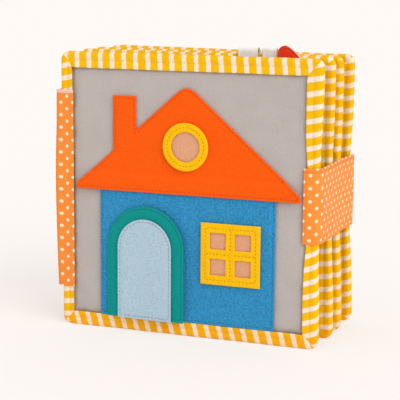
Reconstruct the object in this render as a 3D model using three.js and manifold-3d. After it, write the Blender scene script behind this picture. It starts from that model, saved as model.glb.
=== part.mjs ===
// A fabric quiet book: four padded leaves with a bound edge, a cloth strip round the spine, a closure
// strap round the fore-edge and a felt picture with a flap door on the front cover.
// Millimetres, +Z up, front cover towards -Y, origin at the middle of the footprint.
import * as THREE from 'three';
import { mergeVertices } from 'three/addons/utils/BufferGeometryUtils.js';
import Module from 'manifold-3d';

const wasm = await Module();
wasm.setup();

// Leaves
const leafWidth = 194;
const leafHeight = 200;
const leafThickness = 8; // over the bound edge
const pagePitch = 22; // from the middle of one page to the middle of the other
const coverPitch = 31; // from the middle of a page to the middle of its cover
const leafCorner = 6; // radius of a leaf's corners
const edgeFlat = 3; // flat along the rolled edge, on which the book stands
const bindingWidth = 10; // as seen on the face
const bindingCloth = 0.8; // at the sewn edge of the binding
const bindingCore = 4; // from the outer edge to the leaf tucked into the binding
const panelRecess = 1.5; // face of a panel below the crest of the binding
const panelCloth = 1;

// Clearances
const clearance = 0.3; // between sewn pieces
const turnClearance = 0.6; // between a turning leaf and the spine lining

// Spine strip and closure strap
const stripCloth = 1.2;
const liningThickness = 1.2;
const spineStripHeight = 143.5;
const spineStripRise = 29;
const strapHeight = 52.5;
const strapRise = 73.5;
const strapReach = 3; // past the middle of the back cover
const tapeThickness = 0.5;
const tapeWidth = 6;
const tapeHeight = 42;
const tapeGap = 0.3; // between the hook tape and the loop tape

// Felt picture on the front cover
const feltThickness = 1.6;
const doorWidth = 60;
const doorHeight = 82;
const doorMargin = 6; // from the door to the left edge of the wall
const doorSewnWidth = 5; // strip of the door felt that is stitched down
const doorBorder = 9; // green border round the pale panel
const doorHeadroom = 10; // from the top of the door to the eaves
const doorToWindow = 12;
const windowSize = 44;
const windowBar = 7; // width of the frame and of the cross bars
const windowHead = 18; // from the top of the window to the eaves
const windowMargin = 10; // from the window to the right edge of the wall
const windowFelt = 2;
const paneFelt = 0.8;
const paneTuck = 2.5; // of a pane behind its frame
const roofMargin = 3; // from the eaves to the binding
const roofLap = 10; // of the roof over the top of the wall
const roofFascia = 4; // upright edge at the eaves
const roofBend = 3; // length over which the roof steps down from the wall to the panel
const apexMargin = 6; // from the apex to the binding
const apexRound = 9; // from the apex to where its round corner starts
const chimneyOffset = 47; // from the ridge
const chimneyWidth = 18;
const chimneyDrop = 10; // from the apex to the top of the chimney
const atticRise = 34; // from the eaves to the middle of the round window
const atticRadius = 17;
const atticBar = 6.5;

// Tabs on the first page
const ribbonCloth = 1.2;
const ribbonProud = 5; // above the top edge of the page
const leftRibbonWidth = 14;
const rightRibbonWidth = 10;
const ribbonSpacing = 4;
const redTabWidth = 20;
const redTabProud = 6.7;
const redTabInset = 20.5; // from the fore-edge
const redTabRound = 3;
const redTabCrown = 5.5; // level top of the red tab, before it falls to the right
const redTabFall = 12.7;
const backingBorder = 1; // of the pale cloth beside the red felt
const tabSpacing = 0.5; // between the red tab's backing and the ribbon beside it
const tabTail = 22; // length of a tab that is sewn to the panel
const tabBend = 3; // height of a tab's bend, which ends at the binding's sewn edge

// Places that follow from the sizes above
const leafHalf = leafWidth / 2;
const crest = leafThickness / 2;
const rollRadius = (leafThickness - edgeFlat) / 2;
const panelFace = crest - panelRecess;
const bindingLip = panelFace + clearance + bindingCloth;
const panelHalf = leafHalf - bindingWidth;
const panelTop = leafHeight - bindingWidth;
const coverMiddle = pagePitch / 2 + coverPitch;
const stripBuild = clearance + stripCloth;
const spineBuild = turnClearance + liningThickness + stripBuild;
const strapBuild = clearance + 2 * tapeThickness + tapeGap + stripBuild;
const foldDepth = coverMiddle + crest + stripBuild;
const mitreGap = clearance * Math.SQRT2;
const feltLayer = clearance + feltThickness;
const firstFelt = panelFace + feltLayer;
const secondFelt = firstFelt + feltLayer;
const thirdFelt = secondFelt + feltLayer;
const feltBottom = bindingWidth + clearance;
const wallWidth = doorMargin + doorWidth + doorToWindow + windowSize + windowMargin;
const eaves = feltBottom + doorHeight + doorHeadroom;
const wallTop = eaves + roofLap;
const apex = panelTop - apexMargin;
const roofHalf = panelHalf - roofMargin;
const doorLeft = -wallWidth / 2 + doorMargin;
const doorFold = doorLeft + doorSewnWidth;

const arcSteps = 5;
const cornerSteps = 4;
const curveSegments = 10;

const finish = {
  greyCotton: { color: 0xbbb2ac, roughness: 0.95, metalness: 0 },
  stripedCotton: { color: 0xfcc04a, roughness: 0.9, metalness: 0 },
  dottedCotton: { color: 0xff963c, roughness: 0.9, metalness: 0 },
  wadding: { color: 0xf2efe8, roughness: 1, metalness: 0 },
  blueFelt: { color: 0x1c83bd, roughness: 1, metalness: 0 },
  orangeFelt: { color: 0xff6200, roughness: 1, metalness: 0 },
  yellowFelt: { color: 0xfdbe05, roughness: 1, metalness: 0 },
  tanFelt: { color: 0xe2a480, roughness: 1, metalness: 0 },
  greenFelt: { color: 0x009888, roughness: 1, metalness: 0 },
  paleFelt: { color: 0xafcbd6, roughness: 1, metalness: 0 },
  redFelt: { color: 0xe23014, roughness: 1, metalness: 0 },
  ribbon: { color: 0xece1dc, roughness: 0.6, metalness: 0 },
  fastener: { color: 0xe9e4dc, roughness: 0.8, metalness: 0 },
};

// A named mesh with its own material
function piece(name, geometry, look) {
  const mesh = new THREE.Mesh(geometry, new THREE.MeshStandardMaterial(finish[look]));
  mesh.name = name;
  return mesh;
}

function solidOf(geometry) {
  const bare = geometry.clone();
  bare.deleteAttribute('normal');
  bare.deleteAttribute('uv');
  const merged = mergeVertices(bare);
  return new wasm.Manifold(new wasm.Mesh({
    numProp: 3,
    vertProperties: new Float32Array(merged.attributes.position.array),
    triVerts: new Uint32Array(merged.index.array),
  }));
}

function geometryOf(solid) {
  const mesh = solid.getMesh();
  const geometry = new THREE.BufferGeometry();
  geometry.setAttribute('position', new THREE.BufferAttribute(mesh.vertProperties, 3));
  geometry.setIndex(new THREE.BufferAttribute(mesh.triVerts, 1));
  geometry.computeVertexNormals();
  return geometry;
}

function extrude(shape, depth) {
  return new THREE.ExtrudeGeometry(shape, { depth, bevelEnabled: false, curveSegments });
}

// An outline in x and z, standing as a sheet whose face towards -Y lies at the depth given
function standing(outline, thickness, face) {
  return extrude(outline, thickness).rotateX(Math.PI / 2).translate(0, thickness - face, 0);
}

// A plan in x and y, extruded upwards
function upright(plan, bottom, height) {
  return extrude(plan, height).translate(0, 0, bottom);
}

// A profile in y and z, extruded along x about the middle
function across(profile, width) {
  const turned = new THREE.Matrix4().makeBasis(
    new THREE.Vector3(0, 1, 0), new THREE.Vector3(0, 0, 1), new THREE.Vector3(1, 0, 0));
  return extrude(profile, width).applyMatrix4(turned).translate(-width / 2, 0, 0);
}

function polygon(points) {
  return new THREE.Shape(points.map(([x, y]) => new THREE.Vector2(x, y)));
}

function rectangle(left, bottom, right, top) {
  return polygon([[left, bottom], [right, bottom], [right, top], [left, top]]);
}

function disc(x, z, radius) {
  return new THREE.Shape().absarc(x, z, radius, 0, 2 * Math.PI);
}

function roundedRectangle(left, bottom, right, top, radius) {
  const outline = new THREE.Shape();
  outline.absarc(right - radius, bottom + radius, radius, -Math.PI / 2, 0);
  outline.absarc(right - radius, top - radius, radius, 0, Math.PI / 2);
  outline.absarc(left + radius, top - radius, radius, Math.PI / 2, Math.PI);
  outline.absarc(left + radius, bottom + radius, radius, Math.PI, 1.5 * Math.PI);
  return outline;
}

function arch(left, right, bottom, top) {
  const radius = (right - left) / 2;
  const outline = new THREE.Shape();
  outline.moveTo(left, bottom);
  outline.lineTo(right, bottom);
  outline.absarc(left + radius, top - radius, radius, 0, Math.PI);
  return outline;
}

// The outline of the red tab: round and level at its top left, then falling to its right side
function fallingTab(left, right, top) {
  const outline = new THREE.Shape();
  outline.moveTo(left, leafHeight / 2);
  outline.lineTo(right, leafHeight / 2);
  outline.lineTo(right, top - redTabFall);
  outline.lineTo(left + redTabCrown, top);
  outline.absarc(left + redTabRound, top - redTabRound, redTabRound, Math.PI / 2, Math.PI);
  return outline;
}

// A sheet of cloth with a bent profile, cut to an outline
function bentSheet(outline, profile, span) {
  const cutter = extrude(outline, span).rotateX(Math.PI / 2).translate(0, span / 2, 0);
  return geometryOf(solidOf(across(profile, span)).intersect(solidOf(cutter)));
}

// Height of the binding's face over the middle of the leaf, from its sewn edge up to the crest
function bindingFace(inset) {
  const climb = (bindingWidth - inset) / (bindingWidth - rollRadius);
  return bindingLip + (crest - bindingLip) * Math.sin(climb * Math.PI / 2);
}

// Insets from the crest of the binding to its sewn edge
function slopeInsets() {
  const steps = [...Array(cornerSteps + 1).keys()];
  return steps.map((step) => rollRadius + (bindingWidth - rollRadius) * step / cornerSteps);
}

// Points on the rolled edge and outside it, as inset and depth, from one angle to another
function rollPoints(offset, reach) {
  const points = [];
  for (const side of [-1, 1]) {
    for (let step = 0; step <= arcSteps; step += 1) {
      const turn = reach * (side < 0 ? 1 - step / arcSteps : step / arcSteps);
      const radius = rollRadius + offset;
      points.push([rollRadius - radius * Math.cos(turn), side * (edgeFlat / 2 + radius * Math.sin(turn))]);
    }
  }
  return points;
}

// Closed section of the binding as inset and depth: the roll, the two slopes and the slot for the leaf
function bindingSection() {
  const slope = slopeInsets().slice(1).map((inset) => [inset, bindingFace(inset)]);
  const slot = panelFace + clearance;
  return [
    ...slope.map(([inset, depth]) => [inset, -depth]).reverse(),
    ...rollPoints(0, Math.PI / 2),
    ...slope,
    [bindingWidth, slot],
    [bindingCore, slot],
    [bindingCore, -slot],
    [bindingWidth, -slot],
  ];
}

// A section swept round the leaf: round at the corners near the edge, mitred further in
function boundEdge(section) {
  const positions = [];
  const rings = section.map(([inset, depth]) => [0, 1, 2, 3].map((corner) => {
    const [sideX, sideZ] = [[1, 1], [-1, 1], [-1, -1], [1, -1]][corner];
    const radius = Math.max(leafCorner - inset, 0);
    const middleX = sideX * (leafHalf - inset - radius);
    const middleZ = leafHeight / 2 + sideZ * (leafHeight / 2 - inset - radius);
    const steps = radius > 0 ? cornerSteps : 0;
    return [...Array(steps + 1).keys()].map((step) => {
      const turn = (corner + (steps ? step / steps : 0)) * Math.PI / 2;
      positions.push(middleX + radius * Math.cos(turn), depth, middleZ + radius * Math.sin(turn));
      return positions.length / 3 - 1;
    });
  }));
  const triangles = [];
  rings.forEach((ring, index) => {
    const next = rings[(index + 1) % rings.length];
    ring.forEach((run, corner) => {
      const other = next[corner];
      for (let step = 0; step < Math.max(run.length, other.length) - 1; step += 1) {
        if (run.length > 1) triangles.push(run[step], other[Math.min(step, other.length - 1)], run[step + 1]);
        if (other.length > 1) {
          triangles.push(run[Math.min(step + 1, run.length - 1)], other[step], other[step + 1]);
        }
      }
      const from = [run.at(-1), other.at(-1)];
      const to = [ring[(corner + 1) % 4][0], next[(corner + 1) % 4][0]];
      triangles.push(from[0], from[1], to[0], to[0], from[1], to[1]);
    });
  });
  const geometry = new THREE.BufferGeometry();
  geometry.setAttribute('position', new THREE.BufferAttribute(new Float32Array(positions), 3));
  geometry.setIndex(triangles);
  geometry.computeVertexNormals();
  return geometry;
}

// One padded leaf: wadding between two cloths, all tucked into the bound edge
function leaf(name, middle, front, back) {
  const tuck = bindingCore + clearance;
  const cloth = roundedRectangle(
    tuck - leafHalf, tuck, leafHalf - tuck, leafHeight - tuck, leafCorner - tuck);
  const waddingFace = panelFace - panelCloth - clearance;
  const group = new THREE.Group();
  group.position.y = middle;
  group.add(
    piece(`${name}_wadding`, standing(cloth, 2 * waddingFace, waddingFace), 'wadding'),
    piece(`${name}_${front}_panel`, standing(cloth, panelCloth, panelFace), 'greyCotton'),
    piece(`${name}_${back}_panel`, standing(cloth, panelCloth, panelCloth - panelFace), 'greyCotton'),
    piece(`${name}_binding`, boundEdge(bindingSection()), 'stripedCotton'),
  );
  return group;
}

// Plan of the end of a strip that is sewn on a cover: from the fold, over the crest, down to the sewn edge.
// The fold is at the origin, the leaf lies towards +X and its face towards -Y.
function sewnEnd(build) {
  const outer = slopeInsets().map((inset) => [build + inset, crest - bindingFace(inset)]);
  const inner = outer.map(([x, y]) => [x, y + stripCloth]).reverse();
  return [[0, 0], ...outer, ...inner, [stripCloth, stripCloth]];
}

function mirrored(points, x, y) {
  return points.map(([px, py]) => [px * x, py * y]);
}

// Plan of a strip from its fold to a straight end, with the fold at the origin and the strip along +Y
function freeRun(length) {
  return [[0, mitreGap], [stripCloth, stripCloth + mitreGap], [stripCloth, length], [0, length]];
}

function spine() {
  const strip = freeRun(2 * foldDepth - mitreGap);
  strip[2][1] -= stripCloth;
  const group = new THREE.Group();
  group.position.set(-leafHalf - spineBuild, -foldDepth, spineStripRise);
  const liningBack = spineBuild - turnClearance;
  const lining = rectangle(
    liningBack - liningThickness, stripBuild, liningBack, 2 * foldDepth - stripBuild);
  group.add(
    piece('spine_strip', upright(polygon(strip), 0, spineStripHeight), 'dottedCotton'),
    piece('spine_lining', upright(lining, 0, spineStripHeight), 'wadding'),
  );
  return group;
}

// A sewn end on a cover: side is -1 at the spine and 1 at the fore-edge, face is -1 in front and 1 behind
function coverLap(name, side, face, build, rise, height) {
  const plan = polygon(mirrored(sewnEnd(build), -side, -face));
  const lap = piece(name, upright(plan, rise, height), 'dottedCotton');
  lap.position.set(side * (leafHalf + build), face * (crest + stripBuild), 0);
  return lap;
}

function closureStrap() {
  const length = foldDepth + coverMiddle + strapReach;
  const group = new THREE.Group();
  group.position.set(leafHalf + strapBuild, -foldDepth, strapRise);
  const hookFace = stripBuild + tapeThickness;
  const middle = foldDepth + coverMiddle;
  const hook = rectangle(-hookFace, middle - tapeWidth / 2, -stripBuild, middle + tapeWidth / 2);
  const tapeBottom = (strapHeight - tapeHeight) / 2;
  group.add(
    piece('strap_flap', upright(polygon(mirrored(freeRun(length), -1, 1)), 0, strapHeight), 'dottedCotton'),
    piece('strap_hook_tape', upright(hook, tapeBottom, tapeHeight), 'fastener'),
  );
  return group;
}

// The loop tape is sewn round the rolled fore-edge of the back cover
function loopTape() {
  const reach = (tapeWidth - edgeFlat) / 2 / (rollRadius + clearance);
  const inner = rollPoints(clearance, reach);
  const outer = rollPoints(clearance + tapeThickness, reach).reverse();
  const plan = [...inner, ...outer].map(([inset, depth]) => [leafHalf - inset, depth]);
  const rise = strapRise + (strapHeight - tapeHeight) / 2;
  return piece('strap_loop_tape', upright(polygon(plan), rise, tapeHeight), 'fastener');
}

function houseRoof() {
  const slope = new THREE.Vector2(roofHalf, eaves + roofFascia - apex).normalize().multiplyScalar(apexRound);
  const gable = new THREE.Shape();
  gable.moveTo(-roofHalf, eaves);
  gable.lineTo(roofHalf, eaves);
  gable.lineTo(roofHalf, eaves + roofFascia);
  gable.lineTo(slope.x, apex + slope.y);
  gable.quadraticCurveTo(0, apex, -slope.x, apex + slope.y);
  gable.lineTo(-roofHalf, eaves + roofFascia);
  const bendStart = wallTop + clearance;
  const bendEnd = bendStart + roofBend;
  const back = [
    [-secondFelt + feltThickness, eaves],
    [-secondFelt + feltThickness, bendStart],
    [-firstFelt + feltThickness, bendEnd],
    [-firstFelt + feltThickness, apex],
  ];
  const front = back.map(([y, z]) => [y - feltThickness, z]).reverse();
  const profile = polygon([...back, ...front]);
  const chimney = rectangle(
    -chimneyOffset - chimneyWidth / 2, eaves, -chimneyOffset + chimneyWidth / 2, apex - chimneyDrop);
  const span = 2 * roofHalf;
  const felt = solidOf(bentSheet(gable, profile, span)).add(solidOf(bentSheet(chimney, profile, span)));
  return piece('house_roof', geometryOf(felt), 'orangeFelt');
}

// A felt frame with openings, hollowed behind for the pane that is sewn under it
function feltFrame(name, outline, openings, seat) {
  const base = firstFelt + clearance;
  const face = base + windowFelt;
  let frame = solidOf(standing(outline, windowFelt, face));
  for (const opening of openings) {
    frame = frame.subtract(solidOf(standing(opening, 3 * windowFelt, face + windowFelt)));
  }
  const hollow = paneFelt + clearance;
  frame = frame.subtract(solidOf(standing(seat, hollow + clearance, base + hollow)));
  return piece(name, geometryOf(frame), 'yellowFelt');
}

function pane(name, outline) {
  return piece(name, standing(outline, paneFelt, firstFelt + clearance + paneFelt), 'tanFelt');
}

function atticWindow() {
  const middle = eaves + atticRise;
  const opening = atticRadius - atticBar;
  const paneRadius = opening + paneTuck;
  return [
    feltFrame('attic_window_ring', disc(0, middle, atticRadius), [disc(0, middle, opening)],
      disc(0, middle, paneRadius + clearance)),
    pane('attic_window_pane', disc(0, middle, paneRadius)),
  ];
}

function squareWindow() {
  const right = wallWidth / 2 - windowMargin;
  const top = eaves - windowHead;
  const [middleX, middleZ] = [right - windowSize / 2, top - windowSize / 2];
  const square = (half) => rectangle(middleX - half, middleZ - half, middleX + half, middleZ + half);
  const light = (windowSize - 3 * windowBar) / 2;
  const openings = [-1, 1].flatMap((sideX) => [-1, 1].map((sideZ) => {
    const shift = (windowBar + light) / 2;
    const [x, z] = [middleX + sideX * shift, middleZ + sideZ * shift];
    return rectangle(x - light / 2, z - light / 2, x + light / 2, z + light / 2);
  }));
  const paneHalf = windowSize / 2 - windowBar + paneTuck;
  return [
    feltFrame('window_frame', square(windowSize / 2), openings, square(paneHalf + clearance)),
    pane('window_pane', square(paneHalf)),
  ];
}

// The door felt is one arch, folded along the line where its left margin is stitched down
function door() {
  const right = doorLeft + doorWidth;
  const top = feltBottom + doorHeight;
  const felt = solidOf(standing(arch(doorLeft, right, feltBottom, top), feltThickness, secondFelt));
  const side = (left, end) => solidOf(standing(rectangle(left, 0, end, leafHeight), feltThickness, secondFelt));
  const margin = felt.intersect(side(doorLeft, doorFold - clearance));
  const swinging = felt.intersect(side(doorFold, right));
  const inset = arch(doorLeft + doorBorder, right - doorBorder, feltBottom, top - doorBorder);
  const swing = new THREE.Group();
  swing.add(
    piece('door_leaf', geometryOf(swinging), 'greenFelt'),
    piece('door_panel', standing(inset, feltThickness, thirdFelt), 'paleFelt'),
  );
  return [piece('door_sewn_margin', geometryOf(margin), 'greenFelt'), swing];
}

function frontCover() {
  const cover = leaf('front_cover', -coverMiddle, 'outer', 'inner');
  const wall = rectangle(-wallWidth / 2, feltBottom, wallWidth / 2, wallTop);
  cover.add(
    coverLap('spine_front_lap', -1, -1, spineBuild, spineStripRise, spineStripHeight),
    coverLap('strap_sewn_end', 1, -1, strapBuild, strapRise, strapHeight),
    piece('house_wall', standing(wall, feltThickness, firstFelt), 'blueFelt'),
    houseRoof(),
    ...atticWindow(),
    ...squareWindow(),
    ...door(),
  );
  return cover;
}

// A tab sewn to the face of the page, bent out over the binding and standing above its top edge
function pageTab(name, outline, thickness, lift, look) {
  const start = panelTop - tabBend - tabTail;
  const back = [
    [-panelFace - lift, start],
    [-panelFace - lift, panelTop - tabBend],
    [-crest - lift, panelTop],
    [-crest - lift, leafHeight + redTabProud],
  ];
  const front = back.map(([y, z]) => [y - thickness, z]).reverse();
  return piece(name, bentSheet(outline, polygon([...back, ...front]), leafWidth), look);
}

function firstPage() {
  const page = leaf('page_1', -pagePitch / 2, 'front', 'back');
  const redRight = leafHalf - redTabInset;
  const redLeft = redRight - redTabWidth;
  const rightRibbon = redLeft - backingBorder - tabSpacing;
  const leftRibbon = rightRibbon - rightRibbonWidth - ribbonSpacing;
  const ribbon = (right, width) => rectangle(right - width, 0, right, leafHeight + ribbonProud);
  const top = leafHeight + redTabProud;
  const red = fallingTab(redLeft, redRight, top);
  const backing = fallingTab(redLeft - backingBorder, redRight + 2 * backingBorder, top - backingBorder / 2);
  const redLift = 2 * clearance + panelCloth;
  page.add(
    pageTab('ribbon_tab_left', ribbon(leftRibbon, leftRibbonWidth), ribbonCloth, clearance, 'ribbon'),
    pageTab('ribbon_tab_right', ribbon(rightRibbon, rightRibbonWidth), ribbonCloth, clearance, 'ribbon'),
    pageTab('red_tab_backing', backing, panelCloth, clearance, 'ribbon'),
    pageTab('red_felt_tab', red, feltThickness, redLift, 'redFelt'),
  );
  return page;
}

function backCover() {
  const cover = leaf('back_cover', coverMiddle, 'inner', 'outer');
  cover.add(
    coverLap('spine_back_lap', -1, 1, spineBuild, spineStripRise, spineStripHeight),
    loopTape(),
  );
  return cover;
}

const book = new THREE.Group();
book.add(
  spine(),
  frontCover(),
  firstPage(),
  leaf('page_2', pagePitch / 2, 'front', 'back'),
  backCover(),
  closureStrap(),
);
const frontBuild = Math.max(thirdFelt - crest, stripBuild);
book.position.set((spineBuild - strapBuild) / 2, (frontBuild - stripBuild) / 2, 0);

export default book;
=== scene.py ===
"""Cloth, felt and thread of a quiet book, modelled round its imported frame.

The file is laid out as an add-on. Each operator makes one group of pieces, in metres, where the
frame has them.
"""

import math
import random

import bmesh
import bpy
import numpy as np
from bpy.props import FloatProperty, FloatVectorProperty, PointerProperty
from bpy.types import Operator, Panel, PropertyGroup
from mathutils import Matrix, Vector, noise


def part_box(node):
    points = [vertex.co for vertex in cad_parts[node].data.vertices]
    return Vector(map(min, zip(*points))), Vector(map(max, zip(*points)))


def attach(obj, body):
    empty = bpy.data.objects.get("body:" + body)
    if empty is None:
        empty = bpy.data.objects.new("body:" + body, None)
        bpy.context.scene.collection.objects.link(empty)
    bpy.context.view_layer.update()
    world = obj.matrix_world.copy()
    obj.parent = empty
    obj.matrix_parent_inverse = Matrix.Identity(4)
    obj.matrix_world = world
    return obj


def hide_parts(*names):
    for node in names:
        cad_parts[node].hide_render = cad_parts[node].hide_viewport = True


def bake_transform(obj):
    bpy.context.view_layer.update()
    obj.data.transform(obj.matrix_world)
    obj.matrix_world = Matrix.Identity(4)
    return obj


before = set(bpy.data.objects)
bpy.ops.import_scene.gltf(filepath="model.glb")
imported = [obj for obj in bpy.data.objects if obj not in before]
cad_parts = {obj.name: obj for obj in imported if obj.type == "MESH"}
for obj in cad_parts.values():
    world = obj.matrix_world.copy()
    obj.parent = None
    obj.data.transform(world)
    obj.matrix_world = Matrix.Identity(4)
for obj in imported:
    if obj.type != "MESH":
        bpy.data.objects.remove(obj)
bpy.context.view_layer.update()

bl_info = {
    "name": "Quiet Book",
    "version": (1, 0, 0),
    "blender": (4, 5, 0),
    "location": "View3D > Sidebar > Quiet Book",
    "description": "Dresses a soft fabric book with bound leaves, felt pictures and sewn straps",
    "category": "Object",
}

MM = 0.001
BLACK = (0.0, 0.0, 0.0, 1.0)
FRONT = (0.0, -1.0, 0.0)
UP = (0, 0, 1)
ARC_STEPS = 24
CURVE_STEPS = 8
SMOOTH_ANGLE = math.radians(50)
FELT_SMOOTH_ANGLE = math.radians(40)

# Each leaf with its two grey panels, the one that faces the viewer first
LEAVES = {
    "front_cover": ("outer", "inner"),
    "page_1": ("front", "back"),
    "page_2": ("front", "back"),
    "back_cover": ("inner", "outer"),
}

# Bound edge, with its sides in the order bottom, right, top, left
EDGE_FLAT = 3 * MM
LEAF_CORNER = 6 * MM
BINDING_WIDTH = 10 * MM
SIDE_WIDTHS = (10.1 * MM, 10.7 * MM, 11.2 * MM, 8.8 * MM)
SIDE_WAYS = ((1, 0), (0, 1), (-1, 0), (0, -1))
FORE_SIDE = 1
FORE_WIDTH_BEHIND = 12.5 * MM

# Slant of the stripes in degrees, and shift of the print in millimetres, at the start and end of a side
SIDE_SLANTS = ((-16, -14), (-20, -8), (-9, -2), (-12, -4))
FORE_SLANTS_BEHIND = {"page_1": (-5, -4), "page_2": (-6, -5), "back_cover": (-13, -8)}
FRONT_SIDE_STARTS = ((-0.6, -0.6), (1.6, -0.8), (1.9, 4.25), (1.4, 2.1))
START_PER_LEAF = 13
START_PER_SIDE = 7

# Print of the striped cloth: wandering of the stripes and their blurred edges; then the reaches of the
# painted shade, which gives way to lit colours below the top edge, and where a warmer painted shade comes
# in above the foot
STRIPE_DRIFT = 0.9 * MM
DRIFT_LUMP = 22 * MM
DRIFT_ACROSS = 0.3
STRIPE_BLUR = 0.06
STRIPE_FRAY = 0.12
DEEP_STRIPE = (0.9, 0.45, 0.0)
LIT_COLOURS_BELOW_TOP = (11 * MM, 3 * MM)
PAINTED_SHADE_ABOVE_FOOT = (14 * MM, 7 * MM)

# How each soft leaf leans, droops and is drawn in by the strap at its fore-edge
LEANS = {"front_cover": 0 * MM, "page_1": 1.8 * MM, "page_2": 2 * MM, "back_cover": 1.8 * MM}
LEAN_RETURN = 1.5
DROOPS = {"front_cover": 0 * MM, "page_1": 0.6 * MM, "page_2": 1 * MM, "back_cover": 1.8 * MM}
PULLS = {"front_cover": 0 * MM, "page_1": 0 * MM, "page_2": -1 * MM, "back_cover": -4 * MM}
PULL_FADE = 60 * MM
DRAWN_IN = {"front_cover": 3 * MM, "page_1": 2 * MM, "page_2": 2 * MM, "back_cover": 2 * MM}
DRAWN_FADE = 9 * MM
GRIP_REACH = 48 * MM
GATHERED = 2 * MM
GATHER_REACH = 38 * MM
GATHER_FADE = 5 * MM
PRESSED_BACK = {"front_cover": 5 * MM, "page_1": 0 * MM, "page_2": 0 * MM, "back_cover": 0 * MM}
PRESS_FADE = 12 * MM

# Section of the bound edge
LIP_DEPTH = 4.2 * MM
LIP_OVERHANG = 0.15 * MM
LIP_UNDERCUT = 0.3 * MM
LIP_CLOTH = 0.6 * MM
TUCK_DEPTH = 2.2 * MM
TUCK_INSET = 8 * MM
TUCK_MARGIN = 1 * MM
FACE_CURVE = 1.6
FACE_STEPS = 8
SECTION_STEP = 0.7 * MM
EDGE_STEPS = 150

# What its seam and its corners do to the bound edge
FACE_SPAN = (2 * MM, 5 * MM)
SWELL_LUMP = 30 * MM
PUCKER_LUMP = 2.6 * MM
PUCKER_STRETCH = (1, 0.35, 0.35)
PUCKER_REACH = 2.6 * MM
GROOVE_WIDTH = 0.9 * MM
MITRE_FADE = 5 * MM
MITRE_DEPTH = 0.5 * MM
MITRE_WIDTH = 0.9 * MM
SEAM_STEP = 1 * MM

# Panels
PANEL_INSET = 7 * MM
PANEL_CELLS = 48
PANEL_CLOTH = 0.6 * MM
PANEL_LUMP = 0.2 * MM
PANEL_LUMP_SIZE = 12 * MM
PANEL_SEED_STEP = 0.37
PANEL_SWELL = 0.5 * MM
SWELL_FADE = 20 * MM
PANEL_DIP = 0.9 * MM
DIP_FADE = 7 * MM
PANEL_PROUD = 0.05 * MM
PANEL_CREASE = 1.2 * MM
CREASE_SPAN = (1.1 * MM, -0.2 * MM)
BORDER_CROWDING = 0.92
AT_BORDER = 0.999
SIM_FRAMES = 20

# Felt
FELT_CELL = 3 * MM
FELT_CUT = 0.15 * MM
FELT_RIM = 0.45 * MM
FELT_DROP = 0.45 * MM
FELT_LUMP = 0.12 * MM
FELT_LUMP_SIZE = 9 * MM
FELT_LUMP_FADE = 2 * MM
SEAM_WIDTH = 0.6 * MM
SEAM_PULL = 0.3 * MM
STITCH_SINK = 0.15 * MM
STITCH_DIP = 2.2
SHARP_TURN = 0.4
NO_LENGTH = 1e-12

# Roof, which steps down from the wall to the panel above the wall's top edge
ROOF_FELT = 1.6 * MM
ROOF_DROP = 1.9 * MM
ROOF_SLOPE = 4 * MM
ROOF_STEP = 0.6 * MM
ROOF_FASCIA = 4 * MM
RIDGE_RISE = 77.7 * MM
RIDGE_ROUND = 9 * MM
CHIMNEY_RIGHT = 47 * MM
CHIMNEY_WIDTH = 18 * MM
CHIMNEY_DROP = 10 * MM

# Windows
WINDOW_BAR = 7 * MM
ATTIC_BAR = 6.5 * MM
RING_SIDES = 64
PANE_SIDES = 48

# Door, with the heights of its whipped stitches as shares of its own
DOOR_LIFT = 2.6 * MM
DOOR_CURVE = 1.6
FOLD_CREASE = 0.4 * MM
FOLD_SEAM = 2.6 * MM
FOLD_HEAD = 2.4 * MM
FOLD_SEAM_ENDS = (1.5 * MM, 2.5 * MM)
FREE_SEAM_START = 2.5 * MM
LIFT_STEP = 2 * MM
WHIPPED = (0.17, 0.2, 0.48, 0.51)
WHIP_OUT = 1.3 * MM
WHIP_IN = 2.1 * MM
WHIP_RISE = 0.5 * MM
WHIP_SINK = 0.3 * MM
DOOR_PANEL_THREAD = (0.52, 0.54, 0.62)

# Tabs
RIBBON_PLY = 0.5 * MM
RIBBON_SPARE = 0.2 * MM
RIBBON_STEP = 0.5 * MM
RIBBON_RIPPLE = 0.3 * MM
RIBBON_ROUND = 2 * MM
RIBBON_LEAVES_PANEL = 15 * MM
RIBBON_ON_BINDING = 10 * MM
TAB_STEPS = 10
TAB_RISE = (14 * MM, 10 * MM)
RED_TAB_ROUND = 5.3 * MM
RED_TAB_SHOULDER = 9.6 * MM
RED_TAB_FALL = 12.7 * MM

# Strips, with their turned edges and the rows of stitches across them
STRIP_CLOTH = 1.2 * MM
STRIP_STEP = 1.2 * MM
STRIP_LUMP = 28 * MM
STRIP_STILL = 10 * MM
HEM = 1.8 * MM
HEM_EASE = 0.8 * MM
HEM_SWELL = 0.3
HEM_GROOVE = 0.55
HEM_GROOVE_WIDTH = 0.4 * MM
HEM_SEAM = 2.5 * MM
HEM_SEAM_SPAN = (0.5 * MM, 0.15 * MM)
HEM_BLUR = 0.2 * MM
RIM_STEP = 0.4 * MM
RIM_STEPS = 8
RIM_ROUND = 1.2
RIM_THINNED = 0.8
ROW_PROUD = 0.55 * MM
ROW_ENDS = 3 * MM

# Spine strip and lining
SPINE_LAPS = (("front_cover", "spine_front_lap", -1), ("back_cover", "spine_back_lap", 1))
SPINE_HEM = 2.6 * MM
SPINE_RIPPLE = 0.35 * MM
SPINE_BOW = 1.6 * MM
BOW_SPAN = (5 * MM, 1 * MM)
CREST_GAP = 0.15 * MM
LAP_GAP = 0.2 * MM
LAP_SLOPE = 4.5 * MM
LAP_ROUND = 2.6 * MM
LAP_SEAM = 2.6 * MM
LINING_CELLS = 60
LINING_CLOTH = 1.1 * MM
CHANNEL_DEPTH = 0.7 * MM
CHANNEL_WIDTH = 2 * MM

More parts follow.
